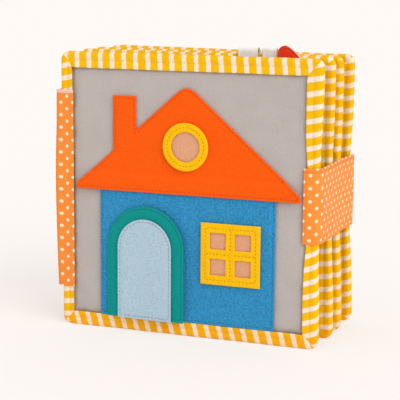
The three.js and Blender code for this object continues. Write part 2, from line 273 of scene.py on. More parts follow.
# Strap
STRAP_LAP = 2 * MM
STRAP_GAP = 0.3 * MM
STRAP_RIPPLE = 0.4 * MM
STRAP_BEND = 11 * MM
STRAP_FULLNESS = 2.6
STRAP_FOLD_GAP = 0.6 * MM
STRAP_EASE = 4 * MM
STRAP_ROUND = 5 * MM
STRAP_SEAM = 1.8 * MM
STRAP_STANDOFF = 1.4 * MM

# Fastener tapes
TUFT_SEED = 5
TAPE_START = 1 * MM
TAPE_END = 0.5 * MM
HOOK_TAPE = 0.4 * MM
HOOK_SINK = 0.1 * MM
HOOK_START = 0.8 * MM
HOOK_PITCH = 1.1 * MM
HOOK_SWAY = 0.2
LOOP_TAPE = 0.5 * MM
LOOP_STEP = 0.8 * MM
LOOP_PITCH = 1 * MM
LOOP_PROUD = 0.25 * MM
LOOP_SCATTER = 0.3
LOOP_CROWN = 0.4 * MM
LOOP_ARC = 1.1
LOOP_ARC_POINTS = 15

# Stage
FLOOR_SIZE = 40
SENSOR_WIDTH = 36
SKY_COLOUR = (1.0, 0.985, 0.97, 1.0)
KEY_COLOUR = (1.0, 0.98, 0.95)
KEY_ANGLE = math.radians(50)
KEY_WAY = (-0.72, 0.47, -0.56)


def colour(name, red, green, blue):
    """A colour that a user can change, given as its three display values."""
    return FloatVectorProperty(
        name=name,
        description=f"Colour of the {name.lower()}",
        subtype="COLOR_GAMMA",
        size=3,
        min=0,
        max=1,
        default=(red / 255, green / 255, blue / 255),
    )


def length(name, description, millimetres):
    """A length that a user can change, given in millimetres."""
    return FloatProperty(
        name=name, description=description, unit="LENGTH", precision=5, default=millimetres * MM
    )


def angle(name, description, degrees):
    """An angle that a user can change, given in degrees."""
    return FloatProperty(
        name=name, description=description, unit="ROTATION", default=math.radians(degrees)
    )


def portion(name, description, share):
    """A share from 0 to 1 that a user can change."""
    return FloatProperty(
        name=name, description=description, subtype="FACTOR", min=0, max=1, default=share
    )


class QuietBookColours(PropertyGroup):
    """Colours of the cloths, felts, threads and floor, with copies of the stripe colours that hold painted
    shade
    """

    grey_cotton: colour("Grey cotton", 194, 186, 183)
    stripe_yellow: colour("Yellow stripes", 253, 195, 8)
    stripe_white: colour("White stripes", 252, 234, 214)
    # Painted shade: darker, warmer stripe colours for the leaves behind the front cover, which stand in the
    # shade between the leaves, and for the bottom edge, which faces down into shade
    painted_shade_yellow: colour("Yellow stripes of the leaves behind", 255, 189, 4)
    painted_foot_shade_yellow: colour("Stripe along the bottom", 255, 180, 14)
    painted_shade_white: colour("White stripes of the leaves behind", 253, 226, 191)
    dot_ground: colour("Dotted cloth", 255, 148, 58)
    dot_spot: colour("Dots", 255, 238, 205)
    hem_reverse: colour("Turned hem", 255, 205, 180)
    dot_seam: colour("Seam of the dotted cloth", 224, 104, 30)
    blue_felt: colour("Wall felt", 54, 154, 210)
    orange_felt: colour("Roof felt", 255, 94, 2)
    yellow_felt: colour("Window felt", 255, 196, 4)
    tan_felt: colour("Pane felt", 228, 168, 132)
    green_felt: colour("Door felt", 4, 150, 145)
    pale_blue_felt: colour("Door panel felt", 182, 209, 225)
    red_felt: colour("Red tab felt", 255, 66, 30)
    ribbon: colour("Ribbon", 255, 251, 249)
    binding_thread: colour("Binding thread", 238, 184, 80)
    tape: colour("Fastener tape", 232, 227, 220)
    lining: colour("Spine lining", 242, 239, 232)
    floor: colour("Floor", 253, 249, 246)


class QuietBookCloth(PropertyGroup):
    """Sizes of the printed and woven patterns"""

    stripe_pitch: length("Stripe pitch", "From one yellow stripe to the next", 9.22)
    stripe_share: portion("Stripe share", "Share of the pitch that is yellow", 0.62)
    dot_pitch: length("Dot pitch", "Side of the square with a dot at each corner and one in its middle", 9)
    dot_diameter: length("Dot diameter", "Across one printed dot", 2.3)
    weave_pitch: length("Weave pitch", "From one thread of the cotton to the next", 0.55)


class QuietBookSewing(PropertyGroup):
    """Sizes of the stitches and of what they do to the cloth"""

    stitch_length: length("Stitch length", "Length of thread that shows", 1.6)
    stitch_gap: length("Stitch gap", "Between one stitch and the next", 1.1)
    thread: length("Thread", "Diameter of the sewing thread", 0.42)
    felt_seam: length("Felt seam", "From the edge of a felt to its stitches", 1.8)
    binding_seam: length("Binding seam", "From the inner edge of the binding to its stitches", 4.2)
    groove: length("Groove", "Depth to which the stitches pull in the padded edge", 0.45)
    pucker: length("Pucker", "Height of the puckers beside the stitches", 0.35)
    swell: length("Swell", "Unevenness of the padded edge", 0.35)


class QuietBookStage(PropertyGroup):
    """Camera and light"""

    azimuth: angle("Azimuth", "Turn of the camera to the right of the cover", 20.72)
    elevation: angle("Elevation", "Height of the camera above the horizon", 9.974)
    roll: angle("Roll", "Tilt of the camera", 0.442)
    distance: length("Distance", "From the camera to its target", 982.6)
    target: FloatVectorProperty(
        name="Target", description="Point in the middle of the picture", subtype="TRANSLATION",
        default=(-6.85 * MM, 1.35 * MM, 90.85 * MM),
    )
    lens: FloatProperty(
        name="Lens", description="Focal length for a 36 mm sensor, in millimetres", min=1, default=120.29
    )
    sky: FloatProperty(name="Sky", description="Strength of the light from all round", min=0, default=0.74)
    key: FloatProperty(name="Key", description="Strength of the soft main lamp", min=0, default=1.6)
    floor_glow: portion("Floor glow", "Share of the floor's colour that no shadow darkens", 0.6)


def linear(display):
    """Scene colour, with alpha, of a display colour."""
    return [c / 12.92 if c <= 0.04045 else ((c + 0.055) / 1.055) ** 2.4 for c in display] + [1.0]


class Socket:
    """A node's output that adds Math nodes when it is used in an expression."""

    def __init__(self, shader, output):
        self.shader = shader
        self.output = output

    def math(self, operation, *others):
        values = dict(enumerate((self, *others)))
        return self.shader.node("Math", {"operation": operation}, values)

    def __add__(self, other):
        return self.math("ADD", other)

    def __sub__(self, other):
        return self.math("SUBTRACT", other)

    def __mul__(self, other):
        return self.math("MULTIPLY", other)

    def __truediv__(self, other):
        return self.math("DIVIDE", other)


class Shader:
    """A node material that ends in one Principled BSDF."""

    def __init__(self, name, roughness, sheen):
        self.material = bpy.data.materials.new(name)
        self.material.use_nodes = True
        self.tree = self.material.node_tree
        self.surface = self.tree.nodes["Principled BSDF"]
        self.surface.inputs["Roughness"].default_value = roughness
        self.surface.inputs["Specular IOR Level"].default_value = 0.1
        self.surface.inputs["Sheen Weight"].default_value = sheen
        self.surface.inputs["Sheen Roughness"].default_value = 0.5

    def feed(self, socket, value):
        if isinstance(value, Socket):
            self.tree.links.new(value.output, socket)
        else:
            socket.default_value = value

    def node(self, kind, settings, inputs, output=0):
        """Adds a node, sets it up, feeds its sockets and gives one of its outputs."""
        node = self.tree.nodes.new("ShaderNode" + kind)
        for name, value in settings.items():
            setattr(node, name, value)
        for name, value in inputs.items():
            self.feed(node.inputs[name], value)
        return Socket(self, node.outputs[output])

    def mix(self, factor, first, second):
        """The first colour at factor 0, the second at 1."""
        return self.node("Mix", {"data_type": "RGBA"}, {0: factor, 6: first, 7: second}, 2)

    def vector(self, operation, first, second, output="Vector"):
        return self.node("VectorMath", {"operation": operation}, {0: first, 1: second}, output)

    def ramp(self, value, low, high):
        """0 below low and 1 above high, or the other way round, with a smooth change between."""
        inputs = {"Value": value, "From Min": low, "From Max": high}
        return self.node("MapRange", {"interpolation_type": "SMOOTHSTEP"}, inputs)

    def lumps(self, place, scale, detail=2.0):
        """Noise from 0 to 1 with lumps of about one over the scale."""
        return self.node("TexNoise", {}, {"Vector": place, "Scale": scale, "Detail": detail})

    def axis(self, place, name):
        """One coordinate of a place."""
        return self.node("SeparateXYZ", {}, {"Vector": place}, name)

    def cloth(self):
        """Place on the flat cloth, in metres."""
        return self.node("TexCoord", {}, {}, "UV")

    def place(self):
        """Place on the object, in metres."""
        return self.node("TexCoord", {}, {}, "Object")

    def finish(self, base, height, depth):
        """Feeds the base colour, and the height as a bump of the given depth."""
        self.feed(self.surface.inputs["Base Color"], base)
        bump = self.node("Bump", {}, {"Strength": 1.0, "Distance": depth, "Height": height}, "Normal")
        self.feed(self.surface.inputs["Normal"], bump)
        return self.material


def weave(shader, cloth):
    """Height of a plain weave, from -1 to 1."""
    turns = 2 * math.pi / bpy.context.scene.quiet_book_cloth.weave_pitch
    turned = shader.vector("MULTIPLY", cloth, (turns, turns, 0))
    warp = shader.axis(turned, "X").math("SINE")
    weft = shader.axis(turned, "Y").math("SINE")
    return warp * weft


def shade(shader, base, place, scale, amount):
    """A colour that is patchily darker by up to the given amount."""
    patch = shader.ramp(shader.lumps(place, scale), 0.3, 0.7) * amount
    return shader.mix(patch, base, BLACK)


def grey_cotton():
    """Plain woven cotton, a little patchy and slubbed."""
    shader = Shader("grey_cotton", roughness=0.9, sheen=0.0)
    cloth = shader.cloth()
    base = linear(bpy.context.scene.quiet_book_colours.grey_cotton)
    base = shade(shader, base, cloth, scale=60, amount=0.05)
    base = shade(shader, base, cloth, scale=600, amount=0.06)
    height = weave(shader, cloth) + shader.lumps(cloth, scale=900)
    return shader.finish(base, height, depth=0.06 * MM)


def striped_cotton(name, strong, pale):
    """Strong stripes on a pale ground in the given colours, which on the leaves behind hold painted shade;
    along the top edge they give way to the front's lit colours, and along the bottom edge a warmer, darker
    painted shade is mixed in.
    """
    colours = bpy.context.scene.quiet_book_colours
    sizes = bpy.context.scene.quiet_book_cloth
    shader = Shader(name, roughness=0.9, sheen=0.0)
    cloth = shader.cloth()
    along = shader.axis(cloth, "X") / sizes.stripe_pitch
    from_middle = (along.math("FRACT") - 0.5).math("ABSOLUTE") * 2
    frayed = from_middle + (shader.lumps(cloth, scale=700) - 0.5) * STRIPE_FRAY
    white = shader.ramp(frayed, sizes.stripe_share - STRIPE_BLUR, sizes.stripe_share + STRIPE_BLUR)
    up = shader.axis(shader.place(), "Z")
    low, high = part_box("front_cover_binding")
    # Painted shade masks: the shaded colours of the leaves behind give way to the front's lit colours along
    # the top edge, where light falls, and a warmer, darker painted shade comes in along the foot, which
    # faces down
    lit_top = shader.ramp(up, *[high.z - reach for reach in LIT_COLOURS_BELOW_TOP])
    foot_shade = shader.ramp(up, *[low.z + reach for reach in PAINTED_SHADE_ABOVE_FOOT])
    # Strong and pale colours with their painted shade; at the foot the pale stripes take only part of it
    strong = shader.mix(lit_top, linear(strong), linear(colours.stripe_yellow))
    strong = shader.mix(foot_shade, strong, linear(colours.painted_foot_shade_yellow))
    pale = shader.mix(lit_top, linear(pale), linear(colours.stripe_white))
    pale = shader.mix(foot_shade * 0.6, pale, linear(colours.painted_shade_white))
    deep = shader.mix(0.1, strong, linear(DEEP_STRIPE))
    patches = shader.ramp(shader.lumps(cloth, scale=90), 0.35, 0.65)
    base = shader.mix(white, shader.mix(patches, strong, deep), pale)
    height = weave(shader, cloth) + shader.lumps(cloth, scale=800)
    return shader.finish(base, height, depth=0.07 * MM)


def dotted_cotton(name, hem):
    """Small pale dots in a staggered lattice, with a paler band as wide as the hem along the top."""
    colours = bpy.context.scene.quiet_book_colours
    sizes = bpy.context.scene.quiet_book_cloth
    shader = Shader(name, roughness=0.9, sheen=0.12)
    cloth = shader.cloth()
    squares = shader.vector("DIVIDE", cloth, (sizes.dot_pitch, sizes.dot_pitch, 1))
    reaches = []
    for shift in (0.0, 0.5):
        shifted = shader.vector("ADD", squares, (shift, shift, 0))
        fraction = shader.node("VectorMath", {"operation": "FRACTION"}, {0: shifted})
        cell = shader.vector("SUBTRACT", fraction, (0.5, 0.5, 0))
        flat = shader.vector("MULTIPLY", cell, (1, 1, 0))
        reaches.append(shader.vector("LENGTH", flat, (0, 0, 0), "Value"))
    radius = sizes.dot_diameter / 2 / sizes.dot_pitch
    dot = shader.ramp(reaches[0].math("MINIMUM", reaches[1]), radius * 1.15, radius * 0.85)
    ground = shade(shader, linear(colours.dot_ground), cloth, scale=120, amount=0.05)
    printed = shader.mix(dot, ground, linear(colours.dot_spot))
    from_top = shader.axis(cloth, "Y")
    if hem:
        turned = shader.ramp(from_top, hem + HEM_BLUR, hem - HEM_BLUR)
        printed = shader.mix(turned, printed, linear(colours.hem_reverse))
    sewn = shader.ramp((from_top - HEM_SEAM).math("ABSOLUTE"), *HEM_SEAM_SPAN)
    base = shader.mix(sewn * 0.6, printed, linear(colours.dot_seam))
    height = weave(shader, cloth) + shader.lumps(cloth, scale=800)
    return shader.finish(base, height, depth=0.07 * MM)


def felt_cloth(name, mottle=1.0):
    """Needled felt: matted fibres with lighter and darker flecks, stronger by the mottle."""
    base_colour = linear(getattr(bpy.context.scene.quiet_book_colours, name))
    shader = Shader(name, roughness=0.95, sheen=0.08)
    place = shader.place()
    strands = {"Vector": place, "Scale": 1500, "Detail": 4, "Distortion": 1.5}
    fibres = shader.node("TexNoise", {}, strands)
    flecks = shader.ramp(shader.lumps(place, scale=1050, detail=3), 0.35, 0.7)
    dark = [c * 0.78**mottle for c in base_colour[:3]] + [1.0]
    light = [min(c * 1.1 + 0.008 * mottle, 1.0) for c in base_colour[:3]] + [1.0]
    base = shader.mix(flecks * min(0.45 * mottle, 0.9), base_colour, dark)
    base = shader.mix(shader.ramp(fibres, 0.5, 0.75) * 0.6, base, light)
    return shader.finish(base, fibres + flecks * 0.5, depth=0.3 * MM)


def plain_cloth(name, display, roughness, rib):
    """A cloth of one colour with fine ribs along its length, for ribbon, tape and thread."""
    shader = Shader(name, roughness, sheen=0.15)
    place = shader.place()
    base = shade(shader, linear(display), place, scale=400, amount=0.08)
    waves = {"Vector": place, "Scale": 1 / rib, "Distortion": 1.0}
    ribs = shader.node("TexWave", {"bands_direction": "Z"}, waves)
    return shader.finish(base, ribs + shader.lumps(place, scale=1500), depth=0.05 * MM)


def thread(name, display, darker):
    """Thread in the colour of its cloth, darker by a share."""
    darkened = [c * (1 - darker) for c in display]
    return plain_cloth(f"{name}_thread", darkened, roughness=0.6, rib=0.6 * MM)


def smooth_step(low, high, value):
    """0 at low and 1 at high, with a smooth change between."""
    share = np.clip((value - low) / (high - low), 0, 1)
    return share * share * (3 - 2 * share)


def hump(distance, width):
    """1 at no distance, falling smoothly to nothing on both sides."""
    return np.exp(-(distance / width) ** 2)


def between(ends, share):
    """Value at a share of the way from the first to the last of two."""
    first, last = ends
    return first + (last - first) * share


def steps_of(line):
    """Distance from each point of a line to the next."""
    return np.linalg.norm(np.diff(line, axis=0), axis=1)


def reach_along(line):
    """Distance of each point of a line from its start, along the line."""
    return np.concatenate([[0], np.cumsum(steps_of(line))])


def path_length(path):
    """Length of a line from its start to its end."""
    return float(np.sum(steps_of(path)))


def wander(places, lump, seed=0.0):
    """Smooth noise from about -1 to 1 at each place, with lumps of the given size."""
    shift = Vector((seed, 2.3 * seed, 5.1 * seed))
    flat = np.reshape(places, (-1, 3)) / lump
    values = [noise.noise(Vector(place) + shift) for place in flat]
    return np.reshape(values, np.shape(places)[:-1])


def evenly(points, step, closed=False):
    """The points of a line, spaced again at about the given step."""
    line = np.array([*points, points[0]] if closed else points, float)
    reach = reach_along(line)
    count = max(int(round(reach[-1] / step)), 2)
    stops = np.linspace(0, reach[-1], count + 1)
    spaced = np.stack([np.interp(stops, reach, axis) for axis in line.T], axis=1)
    return spaced[:-1] if closed else spaced


def curve(start, corner, end, steps):
    """Points of a curve that leaves its start towards a corner and comes to its end from there."""
    shares = [step / steps for step in range(steps + 1)]
    return [start.lerp(corner, share).lerp(corner.lerp(end, share), share) for share in shares]


def rounded(points, radius):
    """The points of a line with each inner corner drawn as a curve."""
    line = [Vector(point) for point in points]
    curved = [line[0]]
    for before, corner, after in zip(line, line[1:], line[2:]):
        back = min(radius, (before - corner).length / 2)
        ahead = min(radius, (after - corner).length / 2)
        start = corner + (before - corner).normalized() * back
        end = corner + (after - corner).normalized() * ahead
        curved.extend(curve(start, corner, end, CURVE_STEPS))
    return curved + [line[-1]]


def arc(x, z, radius, start, end, steps=ARC_STEPS):
    """Points of an arc in the plane of the cover, with its angles in degrees."""
    turns = [math.radians(start + (end - start) * step / steps) for step in range(steps + 1)]
    return [(x + radius * math.cos(turn), z + radius * math.sin(turn)) for turn in turns]


def new_piece(name, places, faces, cloth=None):
    """A smooth mesh object with its faces turned outwards, and its place on the flat cloth as UV map."""
    mesh = bpy.data.meshes.new(name)
    mesh.from_pydata(np.reshape(places, (-1, 3)).tolist(), [], faces)
    if cloth is not None:
        layer = mesh.uv_layers.new(name="cloth")
        layer.uv.foreach_set("vector", np.asarray(cloth, np.float32).ravel())
    piece = bpy.data.objects.new(name, mesh)
    bpy.context.scene.collection.objects.link(piece)
    face_out(piece)
    return piece


def added(name, operator, **settings):
    """Adds a basic shape and names it."""
    bpy.ops.object.select_all(action="DESELECT")
    operator(**settings)
    piece = bpy.context.object
    piece.name = name
    return piece


def taken(piece):
    """Points and faces of a piece, which is then removed."""
    places = np.array([vertex.co for vertex in piece.data.vertices])
    faces = [tuple(face.vertices) for face in piece.data.polygons]
    bpy.data.objects.remove(piece)
    return places, faces


def map_flat(piece, across, up):
    """Takes the place of each point along two axes as its place on the flat cloth."""
    layer = piece.data.uv_layers.active
    for corner in piece.data.loops:
        place = piece.data.vertices[corner.vertex_index].co
        layer.uv[corner.index].vector = (place[across], place[up])


def face_out(piece):
    """Turns the faces of a closed mesh outwards and shades it smooth up to sharp edges."""
    shape = bmesh.new()
    shape.from_mesh(piece.data)
    bmesh.ops.recalc_face_normals(shape, faces=shape.faces)
    shape.to_mesh(piece.data)
    shape.free()
    only(piece)
    bpy.ops.object.shade_smooth_by_angle(angle=SMOOTH_ANGLE)


def only(piece):
    """Makes a piece the only one selected, and active."""
    bpy.ops.object.select_all(action="DESELECT")
    piece.select_set(True)
    bpy.context.view_layer.objects.active = piece


def apply_modifier(piece, kind, **settings):
    """Adds a modifier and applies it."""
    modifier = piece.modifiers.new(kind.title(), kind)
    for name, value in settings.items():
        setattr(modifier, name, value)
    only(piece)
    bpy.ops.object.modifier_apply(modifier=modifier.name)


def dress(piece, material, body=None, nodes=()):
    """Gives a piece its material and slot and its body, and hides the CAD nodes that it stands for."""
    piece.data.materials.clear()
    piece.data.materials.append(material)
    if body:
        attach(piece, body)
    if nodes:
        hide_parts(*nodes)


def grid_faces(rows, columns, wrap_rows):
    """Quads of a grid of points, row by row. Each row is closed, and the last row may meet the first."""
    faces = []
    for row in range(rows if wrap_rows else rows - 1):
        first = row * columns
        after = (row + 1) % rows * columns
        for column in range(columns):
            beside = (column + 1) % columns
            faces.append((first + column, first + beside, after + beside, after + column))
    return faces


def quad_corners(cloth):
    """UV corners of the quads of a grid, in the order that grid_faces gives them."""
    corners = (cloth[:-1, :-1], cloth[:-1, 1:], cloth[1:, 1:], cloth[1:, :-1])
    return np.stack(corners, axis=2).reshape(-1, 2)


def bound_section(crest):
    """Closed section of a bound edge as inset from the edge and depth from the leaf's middle."""
    radius = crest - EDGE_FLAT / 2
    half = [(0.0, 0.0), *arc(radius, EDGE_FLAT / 2, radius, 180, 90)]
    for share in np.linspace(0, 1, FACE_STEPS)[1:]:
        inset = radius + (BINDING_WIDTH - radius) * share
        half.append((inset, face_depth(inset, crest)))
    half.append((BINDING_WIDTH + LIP_OVERHANG, LIP_DEPTH - LIP_CLOTH))
    half.append((BINDING_WIDTH - LIP_UNDERCUT, TUCK_DEPTH))
    half.append((TUCK_INSET, TUCK_DEPTH - LIP_CLOTH))
    outline = [(inset, -depth) for inset, depth in reversed(half)] + half[1:]
    return evenly(outline, SECTION_STEP, closed=True)


def face_depth(inset, crest):
    """Depth of the binding's face between its crest and its sewn edge."""
    radius = crest - EDGE_FLAT / 2
    share = (inset - radius) / (BINDING_WIDTH - radius)
    return crest - (crest - LIP_DEPTH) * share ** FACE_CURVE


def leaf_depth(leaf):
    """Depth of the middle of a leaf in the book."""
    low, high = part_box(f"{leaf}_binding")
    return (low.y + high.y) / 2


def side_inset(leaf, inset, side):
    """Inset on one side of a leaf, from the inset on a side with the usual width of binding."""
    behind = side % 4 == FORE_SIDE and leaf in FORE_SLANTS_BEHIND
    width = FORE_WIDTH_BEHIND if behind else SIDE_WIDTHS[side % 4]
    spread = (width - LEAF_CORNER) / (BINDING_WIDTH - LEAF_CORNER)
    return np.where(inset > LEAF_CORNER, LEAF_CORNER + (inset - LEAF_CORNER) * spread, inset)


def settled(leaf, x, y, z):
    """Places on a soft leaf once it leans and droops and the strap draws in its fore-edge."""
    low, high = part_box(f"{leaf}_binding")
    strap_low, strap_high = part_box("strap_flap")
    out = (x - low.x) / (high.x - low.x)
    up = (z - low.z) / (high.z - low.z)
    from_strap = z - (strap_low.z + strap_high.z) / 2
    grip = 1 / (1 + (from_strap / GRIP_REACH) ** 4)
    gather = 1 / (1 + (from_strap / GATHER_REACH) ** 6)
    from_edge = np.maximum(high.x - x, 0)
    drawn = DRAWN_IN[leaf] * grip * np.exp(-from_edge / DRAWN_FADE)
    drawn -= GATHERED * gather * hump(from_edge - BINDING_WIDTH, GATHER_FADE)
    bent = PULLS[leaf] * grip * hump(from_edge, PULL_FADE)
    bent += PRESSED_BACK[leaf] * gather * hump(from_edge, PRESS_FADE)
    lean = LEANS[leaf] * out * (1 - LEAN_RETURN * up)
    moved = (x + lean - drawn, y + bent, z - DROOPS[leaf] * out * up ** 2)
    return np.stack(np.broadcast_arrays(*moved), axis=-1)


def on_side(leaf, side, along, inward, deep):
    """Places along one side of a leaf, from the distance along it, the inset and the depth."""
    low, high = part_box(f"{leaf}_binding")
    corner = [(low.x, low.z), (high.x, low.z), (high.x, high.z), (low.x, high.z)][side]
    way = SIDE_WAYS[side]
    x = corner[0] + way[0] * along - way[1] * inward
    z = corner[1] + way[1] * along + way[0] * inward
    return settled(leaf, x, (low.y + high.y) / 2 + deep, np.maximum(z, low.z))


def side_span(leaf, side):
    """Length of one side of a leaf."""
    low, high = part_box(f"{leaf}_binding")
    return high.x - low.x if SIDE_WAYS[side][0] else high.z - low.z


def edge_lift(along, inset, depth, seed):
    """How far the padded edge swells or is pulled in by its seam, and how much each point is a face."""
    sewing = bpy.context.scene.quiet_book_sewing
    flat = np.stack(np.broadcast_arrays(along + seed, inset, depth), axis=-1)
    outer = inset < TUCK_INSET - TUCK_MARGIN
    shown = np.clip(smooth_step(TUCK_DEPTH, LIP_DEPTH, np.abs(depth)) + outer, 0, 1)
    on_face = smooth_step(*FACE_SPAN, inset) * shown
    from_seam = inset - (BINDING_WIDTH - sewing.binding_seam)
    puckers = wander(flat * PUCKER_STRETCH, PUCKER_LUMP, seed=7.0) * hump(from_seam, PUCKER_REACH)
    lift = sewing.swell * wander(flat, SWELL_LUMP) * shown
    lift += sewing.pucker * puckers * on_face
    lift -= sewing.groove * hump(from_seam, GROOVE_WIDTH) * on_face
    return lift, on_face


def striped_map(leaf, side, seed, along, across, share):
    """Place on the striped cloth of each point along one side, with the slant and drift of its print."""
    slants = SIDE_SLANTS[side]
    if side == FORE_SIDE:
        slants = FORE_SLANTS_BEHIND.get(leaf, slants)
    slant = np.tan(np.radians(between(slants, share)))
    wide = np.concatenate([along, along[:, :1]], axis=1)
    flat = np.stack(np.broadcast_arrays(wide, DRIFT_ACROSS * across, seed + side), axis=-1)
    drift = STRIPE_DRIFT * wander(flat, DRIFT_LUMP, seed=3.0)
    behind = seed * START_PER_LEAF + side * START_PER_SIDE
    starts = FRONT_SIDE_STARTS[side] if leaf == "front_cover" else (behind, behind)
    begin = between(starts, share) * MM
    return np.stack([wide + slant * across + drift + begin, across + 0 * wide], axis=-1)


def binding(leaf, seed):
    """The striped bound edge of one leaf, folded in at its corners and pulled in along its seam."""
    low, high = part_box(f"{leaf}_binding")
    section = bound_section((high.y - low.y) / 2)
    inset, depth = section.T
    tangent = np.roll(section, -1, axis=0) - np.roll(section, 1, axis=0)
    tangent /= np.linalg.norm(tangent, axis=1)[:, None]
    outward = np.stack([-tangent[:, 1], tangent[:, 0]], axis=1)
    outward *= np.sign(outward[np.argmax(depth), 1])
    across = reach_along(np.concatenate([section, section[:1]]))
    at_round = LEAF_CORNER - (LEAF_CORNER - inset) / math.sqrt(2)
    share = np.linspace(0, 1, EDGE_STEPS + 1)[:, None]
    places, cloth = [], []
    for side in range(4):
        span = side_span(leaf, side)
        beside = [side_inset(leaf, inset, side + k) for k in (-1, 1)]
        start, end = [np.where(inset < LEAF_CORNER, at_round, width) for width in beside]
        along = start + (span - start - end) * share
        near = np.minimum(along, span - along)
        reach = np.maximum((LEAF_CORNER - inset) ** 2 - (LEAF_CORNER - near) ** 2, 0)
        rounded_off = (near < LEAF_CORNER) & (inset < LEAF_CORNER)
        straight = side_inset(leaf, inset, side) + 0 * near
        inward = np.where(rounded_off, LEAF_CORNER - np.sqrt(reach), straight)
        from_mitre = np.minimum(along - start, span - end - along) / math.sqrt(2)
        lift, on_face = edge_lift(along, inset, depth, seed + side)
        lift = lift * smooth_step(0, MITRE_FADE, from_mitre)
        lift = lift - MITRE_DEPTH * hump(from_mitre, MITRE_WIDTH) * on_face
        inward = inward + lift * outward[:, 0]
        deep = depth + lift * outward[:, 1]
        places.append(on_side(leaf, side, along, inward, deep)[:-1])
        cloth.append(quad_corners(striped_map(leaf, side, seed, along, across, share)))
    faces = grid_faces(4 * EDGE_STEPS, len(section), wrap_rows=True)
    return new_piece(f"{leaf}_bound_edge", np.concatenate(places), faces, np.concatenate(cloth))


def binding_seams(leaf, seed):
    """Rows for the stitches that hold both faces of a bound edge."""
    sewing = bpy.context.scene.quiet_book_sewing
    low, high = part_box(f"{leaf}_binding")
    inset = BINDING_WIDTH - sewing.binding_seam
    depth = face_depth(inset, (high.y - low.y) / 2)
    rows = []
    for side in range(4):
        start, end = [float(side_inset(leaf, inset, side + k)) + SEAM_STEP for k in (-1, 1)]
        along = np.arange(start, side_span(leaf, side) - end, SEAM_STEP)
        inward = float(side_inset(leaf, inset, side))
        for face in (-1, 1):
            lift, on_face = edge_lift(along, inset, face * depth, seed + side)
            deep = face * (depth + lift + sewing.thread / 4)
            rows.append((on_side(leaf, side, along, inward, deep), (0.0, float(face), 0.0)))
    return rows


class QUIETBOOK_OT_bindings(Operator):
    """Bind the four leaves with striped cotton"""

    bl_idname = "quiet_book.bindings"
    bl_label = "Bound edges"

    def execute(self, context):
        colours = context.scene.quiet_book_colours
        front = striped_cotton("striped_cotton", colours.stripe_yellow, colours.stripe_white)
        # Painted shade: the leaves behind the front cover get a copy of the striped cotton in darker,
        # warmer colours, for the shade between the leaves
        behind = striped_cotton("striped_cotton_painted_shade", colours.painted_shade_yellow, colours.painted_shade_white)
        amber = thread("binding", colours.binding_thread, darker=0)
        for seed, leaf in enumerate(LEAVES):
            edge = binding(leaf, seed)
            dress(edge, behind if seed else front, leaf, [f"{leaf}_binding"])
            rows = binding_seams(leaf, seed)
            sew(f"{leaf}_binding_stitches", rows, amber, leaf)
        return {"FINISHED"}


def sewn_cloth(piece, border):
    """Lets a cloth swell between its sewn edges, as over wadding, and applies what the simulation gives."""
    group = piece.vertex_groups.new(name="sewn")
    group.add(border, 1.0, "REPLACE")
    modifier = piece.modifiers.new("Cloth", "CLOTH")
    modifier.settings.quality = 6
    modifier.settings.mass = 0.15
    modifier.settings.bending_stiffness = 0.05
    modifier.settings.vertex_group_mass = "sewn"
    modifier.settings.shrink_min = -0.015
    modifier.settings.use_pressure = True
    modifier.settings.uniform_pressure_force = 0.5
    modifier.settings.effector_weights.gravity = 0
    modifier.point_cache.frame_start = 1
    modifier.point_cache.frame_end = SIM_FRAMES
    only(piece)
    for step in range(1, SIM_FRAMES + 1):
        bpy.context.scene.frame_set(step)
    bpy.ops.object.modifier_apply(modifier=modifier.name)
    bpy.context.scene.frame_set(1)


def panel(leaf, side, facing, seed):
    """One grey cloth of a leaf, tucked under the bound edge, with its face at the frame's."""
    low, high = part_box(f"{leaf}_binding")
    middle = (low + high) / 2
    half = ((high.x - low.x) / 2 - PANEL_INSET, (high.z - low.z) / 2 - PANEL_INSET)
    panel_low, panel_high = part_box(f"{leaf}_{side}_panel")
    face = panel_low.y if facing < 0 else panel_high.y
    cells = {"x_subdivisions": PANEL_CELLS, "y_subdivisions": PANEL_CELLS}
    piece = added(f"{leaf}_{side}_cloth", bpy.ops.mesh.primitive_grid_add, size=2, **cells)
    points = piece.data.vertices
    border = [point.index for point in points if max(abs(point.co.x), abs(point.co.y)) > AT_BORDER]
    even = np.array([point.co for point in points])
    crowd = BORDER_CROWDING * math.pi / 2
    flat = np.sin(crowd * even) / math.sin(crowd) * (*half, 0)
    for point, place, lump in zip(points, flat, wander(flat, PANEL_LUMP_SIZE, seed)):
        point.co = (place[0], place[1], PANEL_LUMP * lump)
    sewn_cloth(piece, border)
    x, z, lift = np.array([vertex.co for vertex in piece.data.vertices]).T
    edge = np.maximum(np.minimum(half[0] - abs(x), half[1] - abs(z)), 0)
    crown = PANEL_DIP * np.exp(-edge / DIP_FADE)
    swell = PANEL_SWELL * np.tanh(lift / PANEL_SWELL) * np.exp(-edge / SWELL_FADE)
    across, up = middle.x - facing * x, middle.z + z
    from_edges = (up - low.z, high.x - across, high.z - up, across - low.x)
    from_lips = [reach - side_inset(leaf, BINDING_WIDTH, k) for k, reach in enumerate(from_edges)]
    crease = PANEL_CREASE * smooth_step(*CREASE_SPAN, np.min(from_lips, axis=0))
    deep = face + facing * (np.minimum(swell - crown, PANEL_PROUD) - crease)
    for vertex, place in zip(piece.data.vertices, settled(leaf, across, deep, up)):
        vertex.co = place
    map_flat(piece, across=0, up=2)
    apply_modifier(piece, "SUBSURF", levels=1, render_levels=1)
    apply_modifier(piece, "SOLIDIFY", thickness=PANEL_CLOTH, offset=-1)
    only(piece)
    bpy.ops.object.shade_smooth()
    return piece, (2 * half[0], 2 * half[1])


